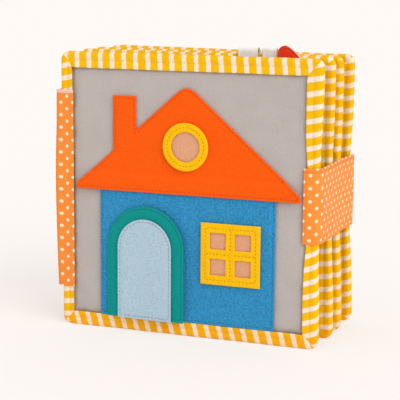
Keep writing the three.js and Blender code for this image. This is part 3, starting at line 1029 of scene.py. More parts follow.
class QUIETBOOK_OT_panels(Operator):
    """Stretch the grey cotton over the wadding of each leaf"""

    bl_idname = "quiet_book.panels"
    bl_label = "Grey panels"

    def execute(self, context):
        material = grey_cotton()
        for seed, (leaf, sides) in enumerate(LEAVES.items()):
            for facing, side in zip((-1, 1), sides):
                piece, flat = panel(leaf, side, facing, seed + PANEL_SEED_STEP * facing)
                nodes = [f"{leaf}_{side}_panel"] + [f"{leaf}_wadding"] * (facing < 0)
                dress(piece, material, leaf, nodes)
        return {"FINISHED"}


def cut_lines(axis, places):
    """Cuts the flat piece that is in edit mode along lines across one axis."""
    normal = [0.0, 0.0, 0.0]
    normal[axis] = 1.0
    for place in places:
        point = [0.0, 0.0, 0.0]
        point[axis] = place
        bpy.ops.mesh.select_all(action="SELECT")
        bpy.ops.mesh.bisect(plane_co=point, plane_no=normal)


def outline_sheet(name, outline, face):
    """A flat sheet cut to an outline, facing the viewer at the given depth."""
    circle = bpy.ops.mesh.primitive_circle_add
    sheet = added(name, circle, vertices=len(outline), fill_type="NGON")
    for vertex, (x, z) in zip(sheet.data.vertices, outline):
        vertex.co = (x, face, z)
    return sheet


def from_rim(shape, places):
    """Distance of each place from the cut edge of a flat mesh."""
    rim = np.array([[v.co for v in edge.verts] for edge in shape.edges if edge.is_boundary])
    start, way = rim[:, 0], rim[:, 1] - rim[:, 0]
    squares = np.maximum(np.sum(way * way, axis=1), NO_LENGTH)
    share = np.einsum("pri,ri->pr", places[:, None] - start, way) / squares
    nearest = start + np.clip(share, 0, 1)[..., None] * way
    return np.min(np.linalg.norm(places[:, None] - nearest, axis=2), axis=1)


def finish_felt(felt, thickness, cells_x=(), cells_z=(), bar=None, bend=None):
    """Rounds the cut edge of a flat felt, draws it in along its seam, makes it lumpy and thickens it.

    A narrow felt bar is sewn along its middle.
    """
    seam = bar / 2 if bar else bpy.context.scene.quiet_book_sewing.felt_seam
    rings = [FELT_CUT, FELT_RIM]
    to_seam = seam - sum(rings)
    rings += [to_seam - SEAM_WIDTH / 2] if bar else [to_seam - SEAM_WIDTH, SEAM_WIDTH, SEAM_WIDTH]
    corners = [vertex.co for vertex in felt.data.vertices]
    low, high = np.min(corners, axis=0), np.max(corners, axis=0)
    only(felt)
    bpy.ops.object.mode_set(mode="EDIT")
    bpy.ops.mesh.select_all(action="SELECT")
    bpy.ops.mesh.normals_make_consistent(inside=False)
    for ring in rings:
        bpy.ops.mesh.inset(thickness=ring, use_even_offset=True)
    for axis, extra in ((0, cells_x), (2, cells_z)):
        count = int((high[axis] - low[axis]) / FELT_CELL)
        lines = np.linspace(low[axis], high[axis], count + 1)[1:-1]
        cut_lines(axis, [*lines, *extra])
    bpy.ops.object.mode_set(mode="OBJECT")
    shape = bmesh.new()
    shape.from_mesh(felt.data)
    places = np.array([v.co for v in shape.verts])
    reach = from_rim(shape, places)
    lumps = wander(places, FELT_LUMP_SIZE, seed=11.0)
    drop = FELT_DROP * np.clip(1 - reach / FELT_RIM, 0, 1) ** 2
    drop += SEAM_PULL * hump(reach - seam, SEAM_WIDTH)
    drop -= FELT_LUMP * lumps * smooth_step(0, FELT_LUMP_FADE, reach)
    for vertex, value in zip(shape.verts, drop):
        vertex.co.y += value + (bend(vertex.co.x, vertex.co.z) if bend else 0.0)
    bmesh.ops.recalc_face_normals(shape, faces=shape.faces)
    if sum(face.normal.y for face in shape.faces) > 0:
        bmesh.ops.reverse_faces(shape, faces=shape.faces)
    shape.to_mesh(felt.data)
    shape.free()
    apply_modifier(felt, "SOLIDIFY", thickness=thickness, offset=-1)
    only(felt)
    bpy.ops.object.shade_smooth_by_angle(angle=FELT_SMOOTH_ANGLE)


def flat_size(low, high):
    """Width and height of a flat piece on the cover, from its corners."""
    return high.x - low.x, high.z - low.z


def box_of(*nodes):
    """Lowest and highest corner of several nodes."""
    boxes = [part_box(node) for node in nodes]
    low = Vector([min(box[0][axis] for box in boxes) for axis in range(3)])
    high = Vector([max(box[1][axis] for box in boxes) for axis in range(3)])
    return low, high


def rectangle_outline(low, high):
    """Four corners, anticlockwise as seen from the front."""
    return [(low.x, low.z), (high.x, low.z), (high.x, high.z), (low.x, high.z)]


def arch_outline(low, high):
    """Straight sides and a round head."""
    radius = (high.x - low.x) / 2
    head = arc(low.x + radius, high.z - radius, radius, 0, 180)
    return [(low.x, low.z), (high.x, low.z), *head]


def roof_outline(low, high):
    """A gable with a round ridge, upright eaves and a chimney on its left side."""
    middle = (low.x + high.x) / 2
    ridge = Vector((middle, low.z + RIDGE_RISE))
    right = Vector((high.x, low.z + ROOF_FASCIA))
    left = Vector((low.x, low.z + ROOF_FASCIA))
    fall = (right - ridge).y / (right - ridge).x
    start = ridge + (right - ridge).normalized() * RIDGE_ROUND
    end = ridge + (left - ridge).normalized() * RIDGE_ROUND
    crown = curve(start, ridge, end, CURVE_STEPS)
    top = ridge.y - CHIMNEY_DROP
    sides = [middle - CHIMNEY_RIGHT + k * CHIMNEY_WIDTH / 2 for k in (1, -1)]
    feet = [ridge.y + fall * abs(x - middle) for x in sides]
    chimney = [(sides[0], feet[0]), (sides[0], top), (sides[1], top), (sides[1], feet[1])]
    return [(low.x, low.z), (high.x, low.z), right, *crown, *chimney, left]


def inset_outline(outline, margin):
    """An outline that runs anticlockwise, moved inwards for a row of stitches."""
    line = np.array([tuple(point) for point in outline], float)
    before = line - np.roll(line, 1, axis=0)
    after = np.roll(line, -1, axis=0) - line
    normals = []
    for edge in (before, after):
        unit = edge / np.linalg.norm(edge, axis=1)[:, None]
        normals.append(np.stack([-unit[:, 1], unit[:, 0]], axis=1))
    sums = normals[0] + normals[1]
    scale = 2 / np.maximum(np.sum(sums * sums, axis=1), SHARP_TURN)
    return line + sums * scale[:, None] * margin


def stitch_shape():
    """Points and faces of one stitch, a unit long."""
    sphere = bpy.ops.mesh.primitive_uv_sphere_add
    ball = added("stitch", sphere, segments=6, ring_count=6, radius=0.5, rotation=(0, math.pi / 2, 0))
    bpy.ops.object.transform_apply(rotation=True)
    return taken(ball)


def sew(name, rows, material, body):
    """Stitches along rows of points, each row with the way out of the cloth, as one piece.

    Each stitch dips into the cloth at its ends.
    """
    sewing = bpy.context.scene.quiet_book_sewing
    shape, shape_faces = stitch_shape()
    stitch = shape * (sewing.stitch_length, sewing.thread, sewing.thread)
    lift = stitch[:, 2:] - sewing.thread * STITCH_DIP * shape[:, :1] ** 2
    pitch = sewing.stitch_length + sewing.stitch_gap
    places, faces = [], []
    for line, out in rows:
        spaced = evenly(line, pitch)
        for start, end in zip(spaced, spaced[1:]):
            way = (end - start) / np.linalg.norm(end - start)
            side = np.cross(way, out)
            first = len(places) * len(shape)
            faces.extend(tuple(first + index for index in face) for face in shape_faces)
            turned = stitch[:, :1] * way + stitch[:, 1:2] * side + lift * np.array(out)
            places.append((start + end) / 2 + turned)
    piece = new_piece(name, np.concatenate(places), faces)
    dress(piece, material, body)


def on_front(points, depth, closed=True):
    """A row of stitches on the front of the book, from points in the plane of the cover."""
    line = [(x, depth, z) for x, z in points]
    return np.array(line + line[:1] if closed else line), FRONT


class QUIETBOOK_OT_house(Operator):
    """Cut and sew the felt house on the front cover"""

    bl_idname = "quiet_book.house"
    bl_label = "Felt house"

    def execute(self, context):
        colours = context.scene.quiet_book_colours
        seam = context.scene.quiet_book_sewing.felt_seam
        low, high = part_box("house_wall")
        outline = rectangle_outline(low, high)
        wall = outline_sheet("wall_felt", outline, low.y)
        finish_felt(wall, high.y - low.y)
        dress(wall, felt_cloth("blue_felt", mottle=2.4), "front_cover", ["house_wall"])
        row = on_front(inset_outline(outline, seam), low.y + STITCH_SINK)
        blue = thread("blue_felt", colours.blue_felt, darker=0.35)
        sew("wall_stitches", [row], blue, "front_cover")

        wall_top = high.z
        low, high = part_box("house_roof")
        outline = roof_outline(low, high)
        roof = outline_sheet("roof_felt", outline, low.y)
        step = [wall_top + k * ROOF_STEP for k in range(-2, 9)]

        def over_wall(x, z):
            return ROOF_DROP * smooth_step(wall_top, wall_top + ROOF_SLOPE, z)

        finish_felt(roof, ROOF_FELT, cells_z=step, bend=over_wall)
        dress(roof, felt_cloth("orange_felt"), "front_cover", ["house_roof"])
        line = evenly(inset_outline(outline, seam), SEAM_STEP, closed=True)
        sewn = np.array([(x, low.y + STITCH_SINK + over_wall(x, z), z) for x, z in line])
        row = (np.concatenate([sewn, sewn[:1]]), FRONT)
        orange = thread("orange_felt", colours.orange_felt, darker=0.25)
        sew("roof_stitches", [row], orange, "front_cover")
        return {"FINISHED"}


def felt_ring(name, low, high, bar, face):
    """A flat ring, made by bridging two circles."""
    centre = (low + high) / 2
    radius = (high.x - low.x) / 2
    circle = bpy.ops.mesh.primitive_circle_add
    place = {"location": (centre.x, face, centre.z), "rotation": (math.pi / 2, 0, 0)}
    ring = added(name, circle, vertices=RING_SIDES, radius=radius, **place)
    bpy.ops.object.transform_apply()
    bpy.ops.object.mode_set(mode="EDIT")
    bpy.ops.mesh.select_all(action="DESELECT")
    circle(vertices=RING_SIDES, radius=radius - bar, **place)
    bpy.ops.mesh.select_all(action="SELECT")
    bpy.ops.mesh.bridge_edge_loops()
    bpy.ops.object.mode_set(mode="OBJECT")
    return ring


def attic_window(ring_material, pane_material):
    """The round window in the roof. Gives the row that sews down its ring."""
    low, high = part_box("attic_window_ring")
    ring = felt_ring("attic_ring_felt", low, high, ATTIC_BAR, low.y)
    finish_felt(ring, high.y - low.y, bar=ATTIC_BAR)
    dress(ring, ring_material, "front_cover", ["attic_window_ring"])
    width = high.x - low.x
    centre = (low + high) / 2
    seam = arc(centre.x, centre.z, width / 2 - ATTIC_BAR / 2, 0, 360, RING_SIDES)
    row = on_front(seam, low.y + STITCH_SINK, closed=False)

    low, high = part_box("attic_window_pane")
    width = high.x - low.x
    outline = arc(centre.x, centre.z, width / 2, 0, 360, PANE_SIDES)[:-1]
    pane = outline_sheet("attic_pane_felt", outline, low.y)
    finish_felt(pane, high.y - low.y)
    dress(pane, pane_material, "front_cover", ["attic_window_pane"])
    return row


def cut_openings(window, low, cuts):
    """Cuts the four openings out of the window's felt, between the cuts from its lower left corner."""
    only(window)
    bpy.ops.object.mode_set(mode="EDIT")
    for axis in (0, 2):
        cut_lines(axis, [low[axis] + cut for cut in cuts])
    bpy.ops.mesh.select_all(action="DESELECT")
    shape = bmesh.from_edit_mesh(window.data)
    for face in shape.faces:
        middle = face.calc_center_median() - low
        face.select_set(all(np.searchsorted(cuts, middle[axis]) % 2 for axis in (0, 2)))
    bmesh.update_edit_mesh(window.data)
    bpy.ops.mesh.delete(type="FACE")
    bpy.ops.object.mode_set(mode="OBJECT")


def square_window(frame_material, pane_material):
    """The square window in the wall. Gives the rows that sew down its frame and its bars."""
    low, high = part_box("window_frame")
    outline = rectangle_outline(low, high)
    window = outline_sheet("window_frame_felt", outline, low.y)
    width = high.x - low.x
    opening = (width - 3 * WINDOW_BAR) / 2
    cuts = [WINDOW_BAR, WINDOW_BAR + opening, 2 * WINDOW_BAR + opening, width - WINDOW_BAR]
    cut_openings(window, low, cuts)
    finish_felt(window, high.y - low.y, bar=WINDOW_BAR)
    dress(window, frame_material, "front_cover", ["window_frame"])
    sunk = low.y + STITCH_SINK
    margin = WINDOW_BAR / 2
    middle = (low + high) / 2
    level = [(low.x + margin, middle.z), (high.x - margin, middle.z)]
    upright = [(middle.x, low.z + margin), (middle.x, high.z - margin)]
    rows = [on_front(inset_outline(outline, margin), sunk)]
    rows += [on_front(line, sunk, closed=False) for line in (level, upright)]

    low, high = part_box("window_pane")
    pane = outline_sheet("window_pane_felt", rectangle_outline(low, high), low.y)
    finish_felt(pane, high.y - low.y)
    dress(pane, pane_material, "front_cover", ["window_pane"])
    return rows


class QUIETBOOK_OT_windows(Operator):
    """Cut and sew the round and the square felt window"""

    bl_idname = "quiet_book.windows"
    bl_label = "Felt windows"

    def execute(self, context):
        colours = context.scene.quiet_book_colours
        yellow = felt_cloth("yellow_felt")
        tan = felt_cloth("tan_felt")
        rows = [attic_window(yellow, tan), *square_window(yellow, tan)]
        yellow_thread = thread("yellow_felt", colours.yellow_felt, darker=0.3)
        sew("window_stitches", rows, yellow_thread, "front_cover")
        return {"FINISHED"}


def door_lift():
    """Gives how far the door stands off the wall: nothing at its fold and most at its free edge."""
    low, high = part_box("door_leaf")
    return lambda x, z: -DOOR_LIFT * np.clip((x - low.x) / (high.x - low.x), 0, 1) ** DOOR_CURVE


def lifted(row, lift):
    """A row of stitches moved onto the door that stands off."""
    line, facing = row
    line = evenly(line, LIFT_STEP)
    line[:, 1] += lift(line[:, 0], line[:, 2])
    return line, facing


class QUIETBOOK_OT_door(Operator):
    """Cut the felt door, sew it down along its fold and sew the pale felt on it"""

    bl_idname = "quiet_book.door"
    bl_label = "Felt door"

    def execute(self, context):
        colours = context.scene.quiet_book_colours
        seam = context.scene.quiet_book_sewing.felt_seam
        low, high = box_of("door_sewn_margin", "door_leaf")
        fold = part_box("door_leaf")[0].x
        outline = arch_outline(low, high)
        lift = door_lift()
        door = outline_sheet("door_felt", outline, low.y)
        creases = [fold + k * FOLD_CREASE for k in range(-6, 7)]
        finish_felt(door, high.y - low.y, cells_x=creases, bend=lift)
        dress(door, felt_cloth("green_felt"), None, ["door_leaf", "door_sewn_margin"])
        width, height = flat_size(low, high)
        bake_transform(door)

        green = thread("green_felt", colours.green_felt, darker=0.4)
        sunk = low.y + STITCH_SINK
        radius = width / 2
        head = high.z - radius + math.sqrt(radius ** 2 - (fold - FOLD_HEAD - low.x - radius) ** 2)
        seam_x = fold - FOLD_SEAM
        below, above = FOLD_SEAM_ENDS
        rows = [on_front([(seam_x, low.z + below), (seam_x, head - above)], sunk, closed=False)]
        for share in WHIPPED:
            z = low.z + share * height
            start = (low.x - WHIP_OUT, high.y - WHIP_SINK, z + WHIP_RISE)
            rows.append((np.array([start, (low.x + WHIP_IN, low.y, z)]), FRONT))
        sew("door_fold_stitches", rows, green, "front_cover")
        free = [point for point in inset_outline(outline, seam) if point[0] > fold + FREE_SEAM_START]
        row = lifted(on_front(free, sunk, closed=False), lift)
        sew("door_stitches", [row], green, "door")

        low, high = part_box("door_panel")
        outline = arch_outline(low, high)
        pale = outline_sheet("door_panel_felt", outline, low.y)
        finish_felt(pale, high.y - low.y, bend=lift)
        dress(pale, felt_cloth("pale_blue_felt", mottle=1.5), "door", ["door_panel"])
        row = lifted(on_front(inset_outline(outline, seam), low.y + STITCH_SINK), lift)
        grey = thread("pale_blue_felt", DOOR_PANEL_THREAD, darker=0.0)
        sew("door_panel_stitches", [row], grey, "door")
        return {"FINISHED"}


def strip_section(width, thickness):
    """Closed section of a doubled strip with turned edges: offset from its middle, and place across."""
    half = thickness / 2
    rim = RIM_STEP * np.arange(RIM_STEPS)
    inner = RIM_STEP * RIM_STEPS
    rest = evenly([(inner, 0), (width - inner, 0)], STRIP_STEP)[:, 0]
    across = np.concatenate([rim, rest, width - rim[::-1]])
    edge = np.minimum(across, width - across)
    turned = HEM_SWELL * smooth_step(HEM, HEM - HEM_EASE, edge)
    sewn = HEM_GROOVE * hump(edge - HEM, HEM_GROOVE_WIDTH)
    swell = half * (1 + turned - sewn)
    swell *= np.sqrt(1 - RIM_THINNED * np.clip(1 - edge / (RIM_ROUND * half), 0, 1) ** 2)
    front = list(zip(swell, across))
    back = list(zip(-swell, across))[::-1]
    return np.array(front + back)


def strip(name, path, width_way, width, thickness, seed, ripple):
    """A strip of cloth swept along a path.

    Its UV map is in metres, along the path and from the edge that is last across its width.
    """
    line = np.array(path)
    way = np.gradient(line, axis=0)
    way /= np.linalg.norm(way, axis=1)[:, None]
    out = np.cross(way, np.array(width_way, float))[:, None]
    offset, across = strip_section(width, thickness).T
    reach = reach_along(line)
    run, over = np.broadcast_arrays(reach[:, None], across)
    flat = np.stack([run, over, np.full(run.shape, seed)], axis=-1)
    lift = ripple * wander(flat, STRIP_LUMP, seed)
    lift *= smooth_step(0, STRIP_STILL, reach)[:, None]
    places = line[:, None] + across[:, None] * np.array(width_way) + out * offset[:, None]
    places = places + out * lift[..., None]
    rows, columns = run.shape
    faces = grid_faces(rows, columns, wrap_rows=False)
    cloth = np.stack([run, across.max() - over], axis=-1)
    corners = [quad_corners(np.concatenate([cloth, cloth[:, :1]], axis=1))]
    for row, order in ((0, 1), (rows - 1, -1)):
        faces.append(tuple(range(row * columns, (row + 1) * columns))[::order])
        corners.append(cloth[row][::order])
    return new_piece(name, places, faces, np.concatenate(corners))


def row_across(x, y, bottom, height, out):
    """A row of stitches across a strip, clear of its edges."""
    return np.array([(x, y, bottom + ROW_ENDS), (x, y, bottom + height - ROW_ENDS)]), out


def spine_lap(cover, lap, face, material):
    """Half of the dotted strip, from its seam on a cover to the middle of the spine, and that seam."""
    low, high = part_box("spine_strip")
    bottom, height = low.z, high.z - low.z
    middle = (low.x + high.x) / 2
    low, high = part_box(lap)
    outer, lip = (low.y, high.y) if face < 0 else (high.y, low.y)
    half = STRIP_CLOTH / 2
    crest = outer - face * (half + CREST_GAP)
    sewn = lip + face * (half + LAP_GAP)
    corners = [
        (high.x, sewn, bottom),
        (high.x - LAP_SLOPE, crest, bottom),
        (middle, crest, bottom),
        (middle, 0.0, bottom),
    ]
    path = evenly(rounded(corners, LAP_ROUND), STRIP_STEP)
    piece = strip(f"{lap}_cloth", path, UP, height, STRIP_CLOTH, 21.0 + face, SPINE_RIPPLE)
    bow_start, bow_end = [middle + reach for reach in BOW_SPAN]
    for vertex in piece.data.vertices:
        at_spine = smooth_step(bow_start, bow_end, vertex.co.x)
        vertex.co.x -= SPINE_BOW * at_spine * math.sin(math.pi * (vertex.co.z - bottom) / height)
    dress(piece, material, None, [lap, "spine_strip"])
    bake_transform(piece)
    out = (0.0, float(face), 0.0)
    return row_across(high.x - LAP_SEAM, sewn + face * ROW_PROUD, bottom, height, out)


def spine_lining(material):
    """The padded lining, drawn in where each leaf is sewn to it."""
    low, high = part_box("spine_lining")
    cells = {"x_subdivisions": LINING_CELLS, "y_subdivisions": LINING_CELLS}
    lining = added("spine_padding", bpy.ops.mesh.primitive_grid_add, size=2, **cells)
    centre = (low + high) / 2
    size = high - low
    seams = [leaf_depth(leaf) for leaf in LEAVES]
    for vertex in lining.data.vertices:
        y = centre.y + vertex.co.x * size.y / 2
        z = centre.z + vertex.co.y * size.z / 2
        channel = max(hump(y - seam, CHANNEL_WIDTH) for seam in seams)
        vertex.co = (high.x - CHANNEL_DEPTH * channel, y, z)
    map_flat(lining, across=1, up=2)
    apply_modifier(lining, "SOLIDIFY", thickness=LINING_CLOTH, offset=-1)
    face_out(lining)
    dress(lining, material, "spine", ["spine_lining"])


class QUIETBOOK_OT_spine(Operator):
    """Sew the dotted strip and its padded lining round the spine"""

    bl_idname = "quiet_book.spine"
    bl_label = "Spine strip"

    def execute(self, context):
        colours = context.scene.quiet_book_colours
        material = dotted_cotton("dotted_spine", SPINE_HEM)
        orange = thread("dotted_cotton", colours.dot_ground, darker=0.15)
        rows = {lap[0]: spine_lap(*lap, material) for lap in SPINE_LAPS}
        for cover, row in rows.items():
            sew(f"{cover}_spine_stitches", [row], orange, cover)
        spine_lining(plain_cloth("lining_cloth", colours.lining, roughness=0.9, rib=1.2 * MM))
        return {"FINISHED"}


def drawn_edge():
    """Edge and middle of the back cover's fore-edge where the strap draws it in."""
    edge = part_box("back_cover_binding")[1].x
    strap_low, strap_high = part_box("strap_flap")
    height = (strap_low.z + strap_high.z) / 2
    return settled("back_cover", edge, leaf_depth("back_cover"), height)[:2]


class QUIETBOOK_OT_strap(Operator):
    """Fold the dotted closure strap round the fore-edge"""

    bl_idname = "quiet_book.strap"
    bl_label = "Closure strap"

    def execute(self, context):
        colours = context.scene.quiet_book_colours
        low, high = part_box("strap_sewn_end")
        bottom, height = low.z, high.z - low.z
        half = STRIP_CLOTH / 2
        lip = leaf_depth("front_cover") - LIP_DEPTH
        lip_x = low.x - STRAP_LAP
        sewn = settled("front_cover", low.x, lip, bottom + height / 2)[1] - half - STRAP_GAP
        fold_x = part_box("page_1_binding")[1].x - DRAWN_IN["page_1"] + half + STRAP_FOLD_GAP
        turn = np.linspace(0, math.pi / 2, ARC_STEPS)
        right = lip_x + (fold_x - lip_x) * np.sin(turn) ** (2 / STRAP_FULLNESS)
        back = sewn + STRAP_BEND * (1 - np.cos(turn) ** (2 / STRAP_FULLNESS))
        bend = [(x, y, bottom) for x, y in zip(right, back)]
        far_edge, far_middle = drawn_edge()
        end_x = far_edge + STRAP_STANDOFF + half
        tape_low, tape_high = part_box("strap_loop_tape")
        end_y = far_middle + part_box("strap_flap")[1].y - (tape_low + tape_high).y / 2
        corners = [
            (fold_x, sewn + STRAP_BEND, bottom),
            (fold_x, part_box("page_2_binding")[1].y, bottom),
            (end_x, far_middle - STRAP_EASE, bottom),
            (end_x, end_y, bottom),
        ]
        path = evenly([*bend, *rounded(corners, STRAP_ROUND)[1:]], STRIP_STEP)
        piece = strip("strap_cloth", path, UP, height, STRIP_CLOTH, 31.0, STRAP_RIPPLE)
        material = dotted_cotton("dotted_strap", hem=0)
        dress(piece, material, None, ["strap_sewn_end", "strap_flap"])
        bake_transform(piece)
        row = row_across(lip_x + STRAP_SEAM, sewn - ROW_PROUD, bottom, height, FRONT)
        orange = thread("strap", colours.dot_ground, darker=0.15)
        sew("strap_stitches", [row], orange, "front_cover")
        return {"FINISHED"}


def tuft_shape(radius, wire):
    """Points and faces of one bent nylon strand, a half ring spun from a small square."""
    place = {"location": (radius, 0, 0), "rotation": (math.pi / 2, 0, 0)}
    strand = added("strand", bpy.ops.mesh.primitive_circle_add, vertices=4, radius=wire, **place)
    bpy.ops.object.transform_apply()
    bpy.ops.object.mode_set(mode="EDIT")
    bpy.ops.mesh.select_all(action="SELECT")
    bpy.ops.mesh.spin(steps=6, angle=math.radians(210), center=(0, 0, 0), axis=(0, -1, 0))
    bpy.ops.object.mode_set(mode="OBJECT")
    return taken(strand)


class QUIETBOOK_OT_fastener(Operator):
    """Make the hook tape on the strap and the loop tape on the back cover"""

    bl_idname = "quiet_book.fastener"
    bl_label = "Fastener tapes"

    def execute(self, context):
        colours = context.scene.quiet_book_colours
        material = plain_cloth("fastener_tape", colours.tape, roughness=0.5, rib=0.8 * MM)
        draw = random.Random(TUFT_SEED)

        edge, middle = drawn_edge()
        low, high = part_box("strap_hook_tape")
        reach = (high.y - low.y) / 2
        seat = edge + STRAP_STANDOFF - HOOK_SINK
        ends = [(seat - HOOK_TAPE / 2, middle + side * reach, low.z) for side in (-1, 1)]
        path = evenly(ends, STRIP_STEP)
        hooks = strip("hook_tape", path, UP, high.z - low.z, HOOK_TAPE, 41.0, ripple=0)
        tufts = []
        for y in np.arange(middle - reach + HOOK_START, middle + reach - TAPE_END, HOOK_PITCH):
            for z in np.arange(low.z + TAPE_START, high.z - TAPE_END, HOOK_PITCH):
                turn = math.pi / 2 + draw.uniform(-HOOK_SWAY, HOOK_SWAY)
                tufts.append(((seat - HOOK_TAPE, y, z), turn))
        self.plant(hooks, tufts, tuft_shape(radius=0.22 * MM, wire=0.08 * MM), (-1, 0, 0))
        dress(hooks, material, "closure_strap", ["strap_hook_tape"])

        low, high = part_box("strap_loop_tape")
        radius = (high.y - low.y) / 2
        centre = edge + LOOP_CROWN - radius
        turns = np.linspace(-LOOP_ARC, LOOP_ARC, LOOP_ARC_POINTS)
        points = [(centre + radius * math.cos(k), middle + radius * math.sin(k), low.z) for k in turns]
        path = evenly(points, LOOP_STEP)
        loops = strip("loop_tape", path, UP, high.z - low.z, LOOP_TAPE, 43.0, ripple=0)
        tufts = []
        for x, y, z in path[1:-1]:
            for rise in np.arange(TAPE_START, high.z - low.z - TAPE_END, LOOP_PITCH):
                scatter = draw.uniform(-LOOP_SCATTER, LOOP_SCATTER) * MM
                turn = draw.uniform(0, math.pi)
                tufts.append(((x + LOOP_PROUD, y, z + rise + scatter), turn))
        self.plant(loops, tufts, tuft_shape(radius=0.2 * MM, wire=0.06 * MM), (1, 0, 0))
        dress(loops, material, "back_cover", ["strap_loop_tape"])
        return {"FINISHED"}

    @staticmethod
    def plant(piece, tufts, strand, out):
        """Copies a strand to each place on a tape, turned about the way out of it."""
        points, strand_faces = strand
        out = Vector(out)
        level = Vector(UP).rotation_difference(out).to_matrix()
        mesh = bmesh.new()
        mesh.from_mesh(piece.data)
        for place, turn in tufts:
            turned = Matrix.Rotation(turn, 3, out) @ level
            corners = [mesh.verts.new(turned @ Vector(point) + Vector(place)) for point in points]
            for face in strand_faces:
                mesh.faces.new([corners[index] for index in face]).smooth = True
        mesh.to_mesh(piece.data)
        mesh.free()


def ribbon_loop(node, depth, seed):
    """A ribbon sewn to the face of the page, that loops over its top edge."""
    low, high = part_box(node)
    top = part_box("page_1_binding")[1].z
    x = low.x - RIBBON_SPARE
    width = high.x - low.x + 2 * RIBBON_SPARE
    front = low.y + RIBBON_PLY / 2
    tail = high.y - RIBBON_PLY
    bend = high.z - RIBBON_PLY / 2 - depth / 2
    crown = [(x, y, z) for y, z in arc(front + depth / 2, bend, depth / 2, 180, 0, TAB_STEPS)]
    rise = [
        (x, tail, low.z),
        (x, tail, top - RIBBON_LEAVES_PANEL),
        (x, front, top - RIBBON_ON_BINDING),
        crown[0],
    ]
    end = (x, front + depth, top - RIBBON_PLY)
    path = evenly([*rounded(rise, RIBBON_ROUND), *crown, end], RIBBON_STEP)
    ribbon = strip(f"{node}_cloth", path, (1, 0, 0), width, RIBBON_PLY, seed, RIBBON_RIPPLE)
    return ribbon, (width, path_length(path))


def red_tab_outline(low, high):
    """Round at the top left, then falling in a long curve to the right side."""
    crown = Vector((low.x + RED_TAB_ROUND, high.z))
    shoulder = Vector((low.x + RED_TAB_SHOULDER, high.z))
    foot = Vector((high.x, high.z - RED_TAB_FALL))
    fall = curve(foot, shoulder, crown, TAB_STEPS)[:-1]
    head = arc(low.x + RED_TAB_ROUND, high.z - RED_TAB_ROUND, RED_TAB_ROUND, 90, 180, TAB_STEPS)
    return [(low.x, low.z), (high.x, low.z), *fall, *head]


class QUIETBOOK_OT_tabs(Operator):
    """Make the ribbon tabs and the red felt tab of the first page"""

    bl_idname = "quiet_book.tabs"
    bl_label = "Page tabs"

    def execute(self, context):
        colours = context.scene.quiet_book_colours
        satin = plain_cloth("satin_ribbon", colours.ribbon, roughness=0.45, rib=0.5 * MM)
        for node, depth, seed in (("ribbon_tab_left", 6.5 * MM, 51.0), ("ribbon_tab_right", 4 * MM, 52.0)):
            ribbon, flat = ribbon_loop(node, depth, seed)
            dress(ribbon, satin, "page_1", [node])

        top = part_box("page_1_binding")[1].z
        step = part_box("page_1_front_panel")[0].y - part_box("page_1_binding")[0].y
        rise_start, rise_end = [top - reach for reach in TAB_RISE]

        def over_binding(x, z):
            return step * (1 - smooth_step(rise_start, rise_end, z))

        tabs = (
            ("red_tab_backing", "red_tab_cloth", satin, "ribbon", 1.0 * MM),
            ("red_felt_tab", "red_tab_felt", felt_cloth("red_felt", mottle=2.0), "red_felt", 1.6 * MM),
        )
        for node, name, material, slot, thickness in tabs:
            low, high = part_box(node)
            tab = outline_sheet(name, red_tab_outline(low, high), low.y)
            finish_felt(tab, thickness, bend=over_binding)
            dress(tab, material, "page_1", [node])
        return {"FINISHED"}


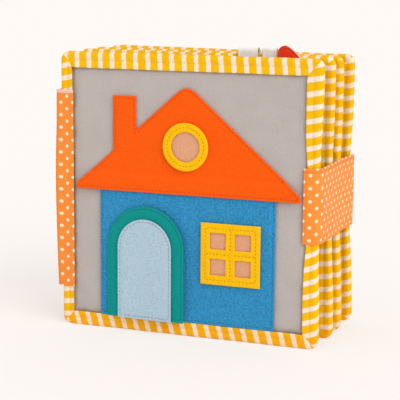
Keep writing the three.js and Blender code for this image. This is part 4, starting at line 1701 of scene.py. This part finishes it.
class QUIETBOOK_OT_stage(Operator):
    """Set the floor, the soft light and the camera"""

    bl_idname = "quiet_book.stage"
    bl_label = "Stage"

    def execute(self, context):
        stage = context.scene.quiet_book_stage
        colours = context.scene.quiet_book_colours
        floor = added("floor", bpy.ops.mesh.primitive_plane_add, size=FLOOR_SIZE)
        shader = Shader("floor_paper", roughness=1.0, sheen=0.0)
        shader.surface.inputs["Specular IOR Level"].default_value = 0.0
        kinds = ("Camera", "Glossy", "Transmission")
        rays = [shader.node("LightPath", {}, {}, f"Is {kind} Ray") for kind in kinds]
        seen = rays[0].math("MAXIMUM", rays[1]).math("MAXIMUM", rays[2])
        paper = linear(colours.floor)
        shadowed, glowing = [
            [c * share for c in paper[:3]] + [1.0] for share in (1 - stage.floor_glow, stage.floor_glow)
        ]
        shader.feed(shader.surface.inputs["Base Color"], shader.mix(seen, paper, shadowed))
        shader.feed(shader.surface.inputs["Emission Color"], shader.mix(seen, BLACK, glowing))
        shader.surface.inputs["Emission Strength"].default_value = 1.0
        floor.data.materials.append(shader.material)

        world = bpy.data.worlds.new("studio")
        context.scene.world = world
        world.use_nodes = True
        background = world.node_tree.nodes["Background"]
        background.inputs["Color"].default_value = SKY_COLOUR
        background.inputs["Strength"].default_value = stage.sky

        key = bpy.data.lights.new("key", "SUN")
        key.energy = stage.key
        key.angle = KEY_ANGLE
        key.color = KEY_COLOUR
        lamp = bpy.data.objects.new("key", key)
        lamp.rotation_euler = Vector(KEY_WAY).to_track_quat("-Z", "Y").to_euler()
        context.scene.collection.objects.link(lamp)

        lens = bpy.data.cameras.new("camera")
        lens.sensor_width = SENSOR_WIDTH
        lens.lens = stage.lens
        camera = bpy.data.objects.new("camera", lens)
        context.scene.collection.objects.link(camera)
        level = math.cos(stage.elevation)
        back = Vector((
            math.sin(stage.azimuth) * level, -math.cos(stage.azimuth) * level, math.sin(stage.elevation)
        ))
        camera.location = Vector(stage.target) + back * stage.distance
        facing = (-back).to_track_quat("-Z", "Y").to_matrix()
        camera.rotation_euler = (facing @ Matrix.Rotation(stage.roll, 3, "Z")).to_euler()
        context.scene.camera = camera
        context.scene.view_settings.view_transform = "Standard"
        return {"FINISHED"}


class VIEW3D_PT_quiet_book(Panel):
    """Lists the steps and their settings"""

    bl_label = "Quiet Book"
    bl_space_type = "VIEW_3D"
    bl_region_type = "UI"
    bl_category = "Quiet Book"

    def draw(self, context):
        for operator in OPERATORS:
            self.layout.operator(operator.bl_idname)
        for group in GROUPS:
            settings = getattr(context.scene, group)
            box = self.layout.box()
            for name in settings.bl_rna.properties.keys():
                if name not in ("rna_type", "name"):
                    box.prop(settings, name)


GROUPS = {
    "quiet_book_colours": QuietBookColours,
    "quiet_book_cloth": QuietBookCloth,
    "quiet_book_sewing": QuietBookSewing,
    "quiet_book_stage": QuietBookStage,
}
OPERATORS = (
    QUIETBOOK_OT_bindings,
    QUIETBOOK_OT_panels,
    QUIETBOOK_OT_house,
    QUIETBOOK_OT_windows,
    QUIETBOOK_OT_door,
    QUIETBOOK_OT_spine,
    QUIETBOOK_OT_strap,
    QUIETBOOK_OT_fastener,
    QUIETBOOK_OT_tabs,
    QUIETBOOK_OT_stage,
)
CLASSES = (*GROUPS.values(), *OPERATORS, VIEW3D_PT_quiet_book)


def register():
    for cls in CLASSES:
        bpy.utils.register_class(cls)
    for name, group in GROUPS.items():
        setattr(bpy.types.Scene, name, PointerProperty(type=group))


def unregister():
    for name in GROUPS:
        delattr(bpy.types.Scene, name)
    for cls in reversed(CLASSES):
        bpy.utils.unregister_class(cls)


def main():
    register()
    bpy.ops.quiet_book.bindings()
    bpy.ops.quiet_book.panels()
    bpy.ops.quiet_book.house()
    bpy.ops.quiet_book.windows()
    bpy.ops.quiet_book.door()
    bpy.ops.quiet_book.spine()
    bpy.ops.quiet_book.strap()
    bpy.ops.quiet_book.fastener()
    bpy.ops.quiet_book.tabs()
    bpy.ops.quiet_book.stage()


if __name__ == "__main__":
    main()
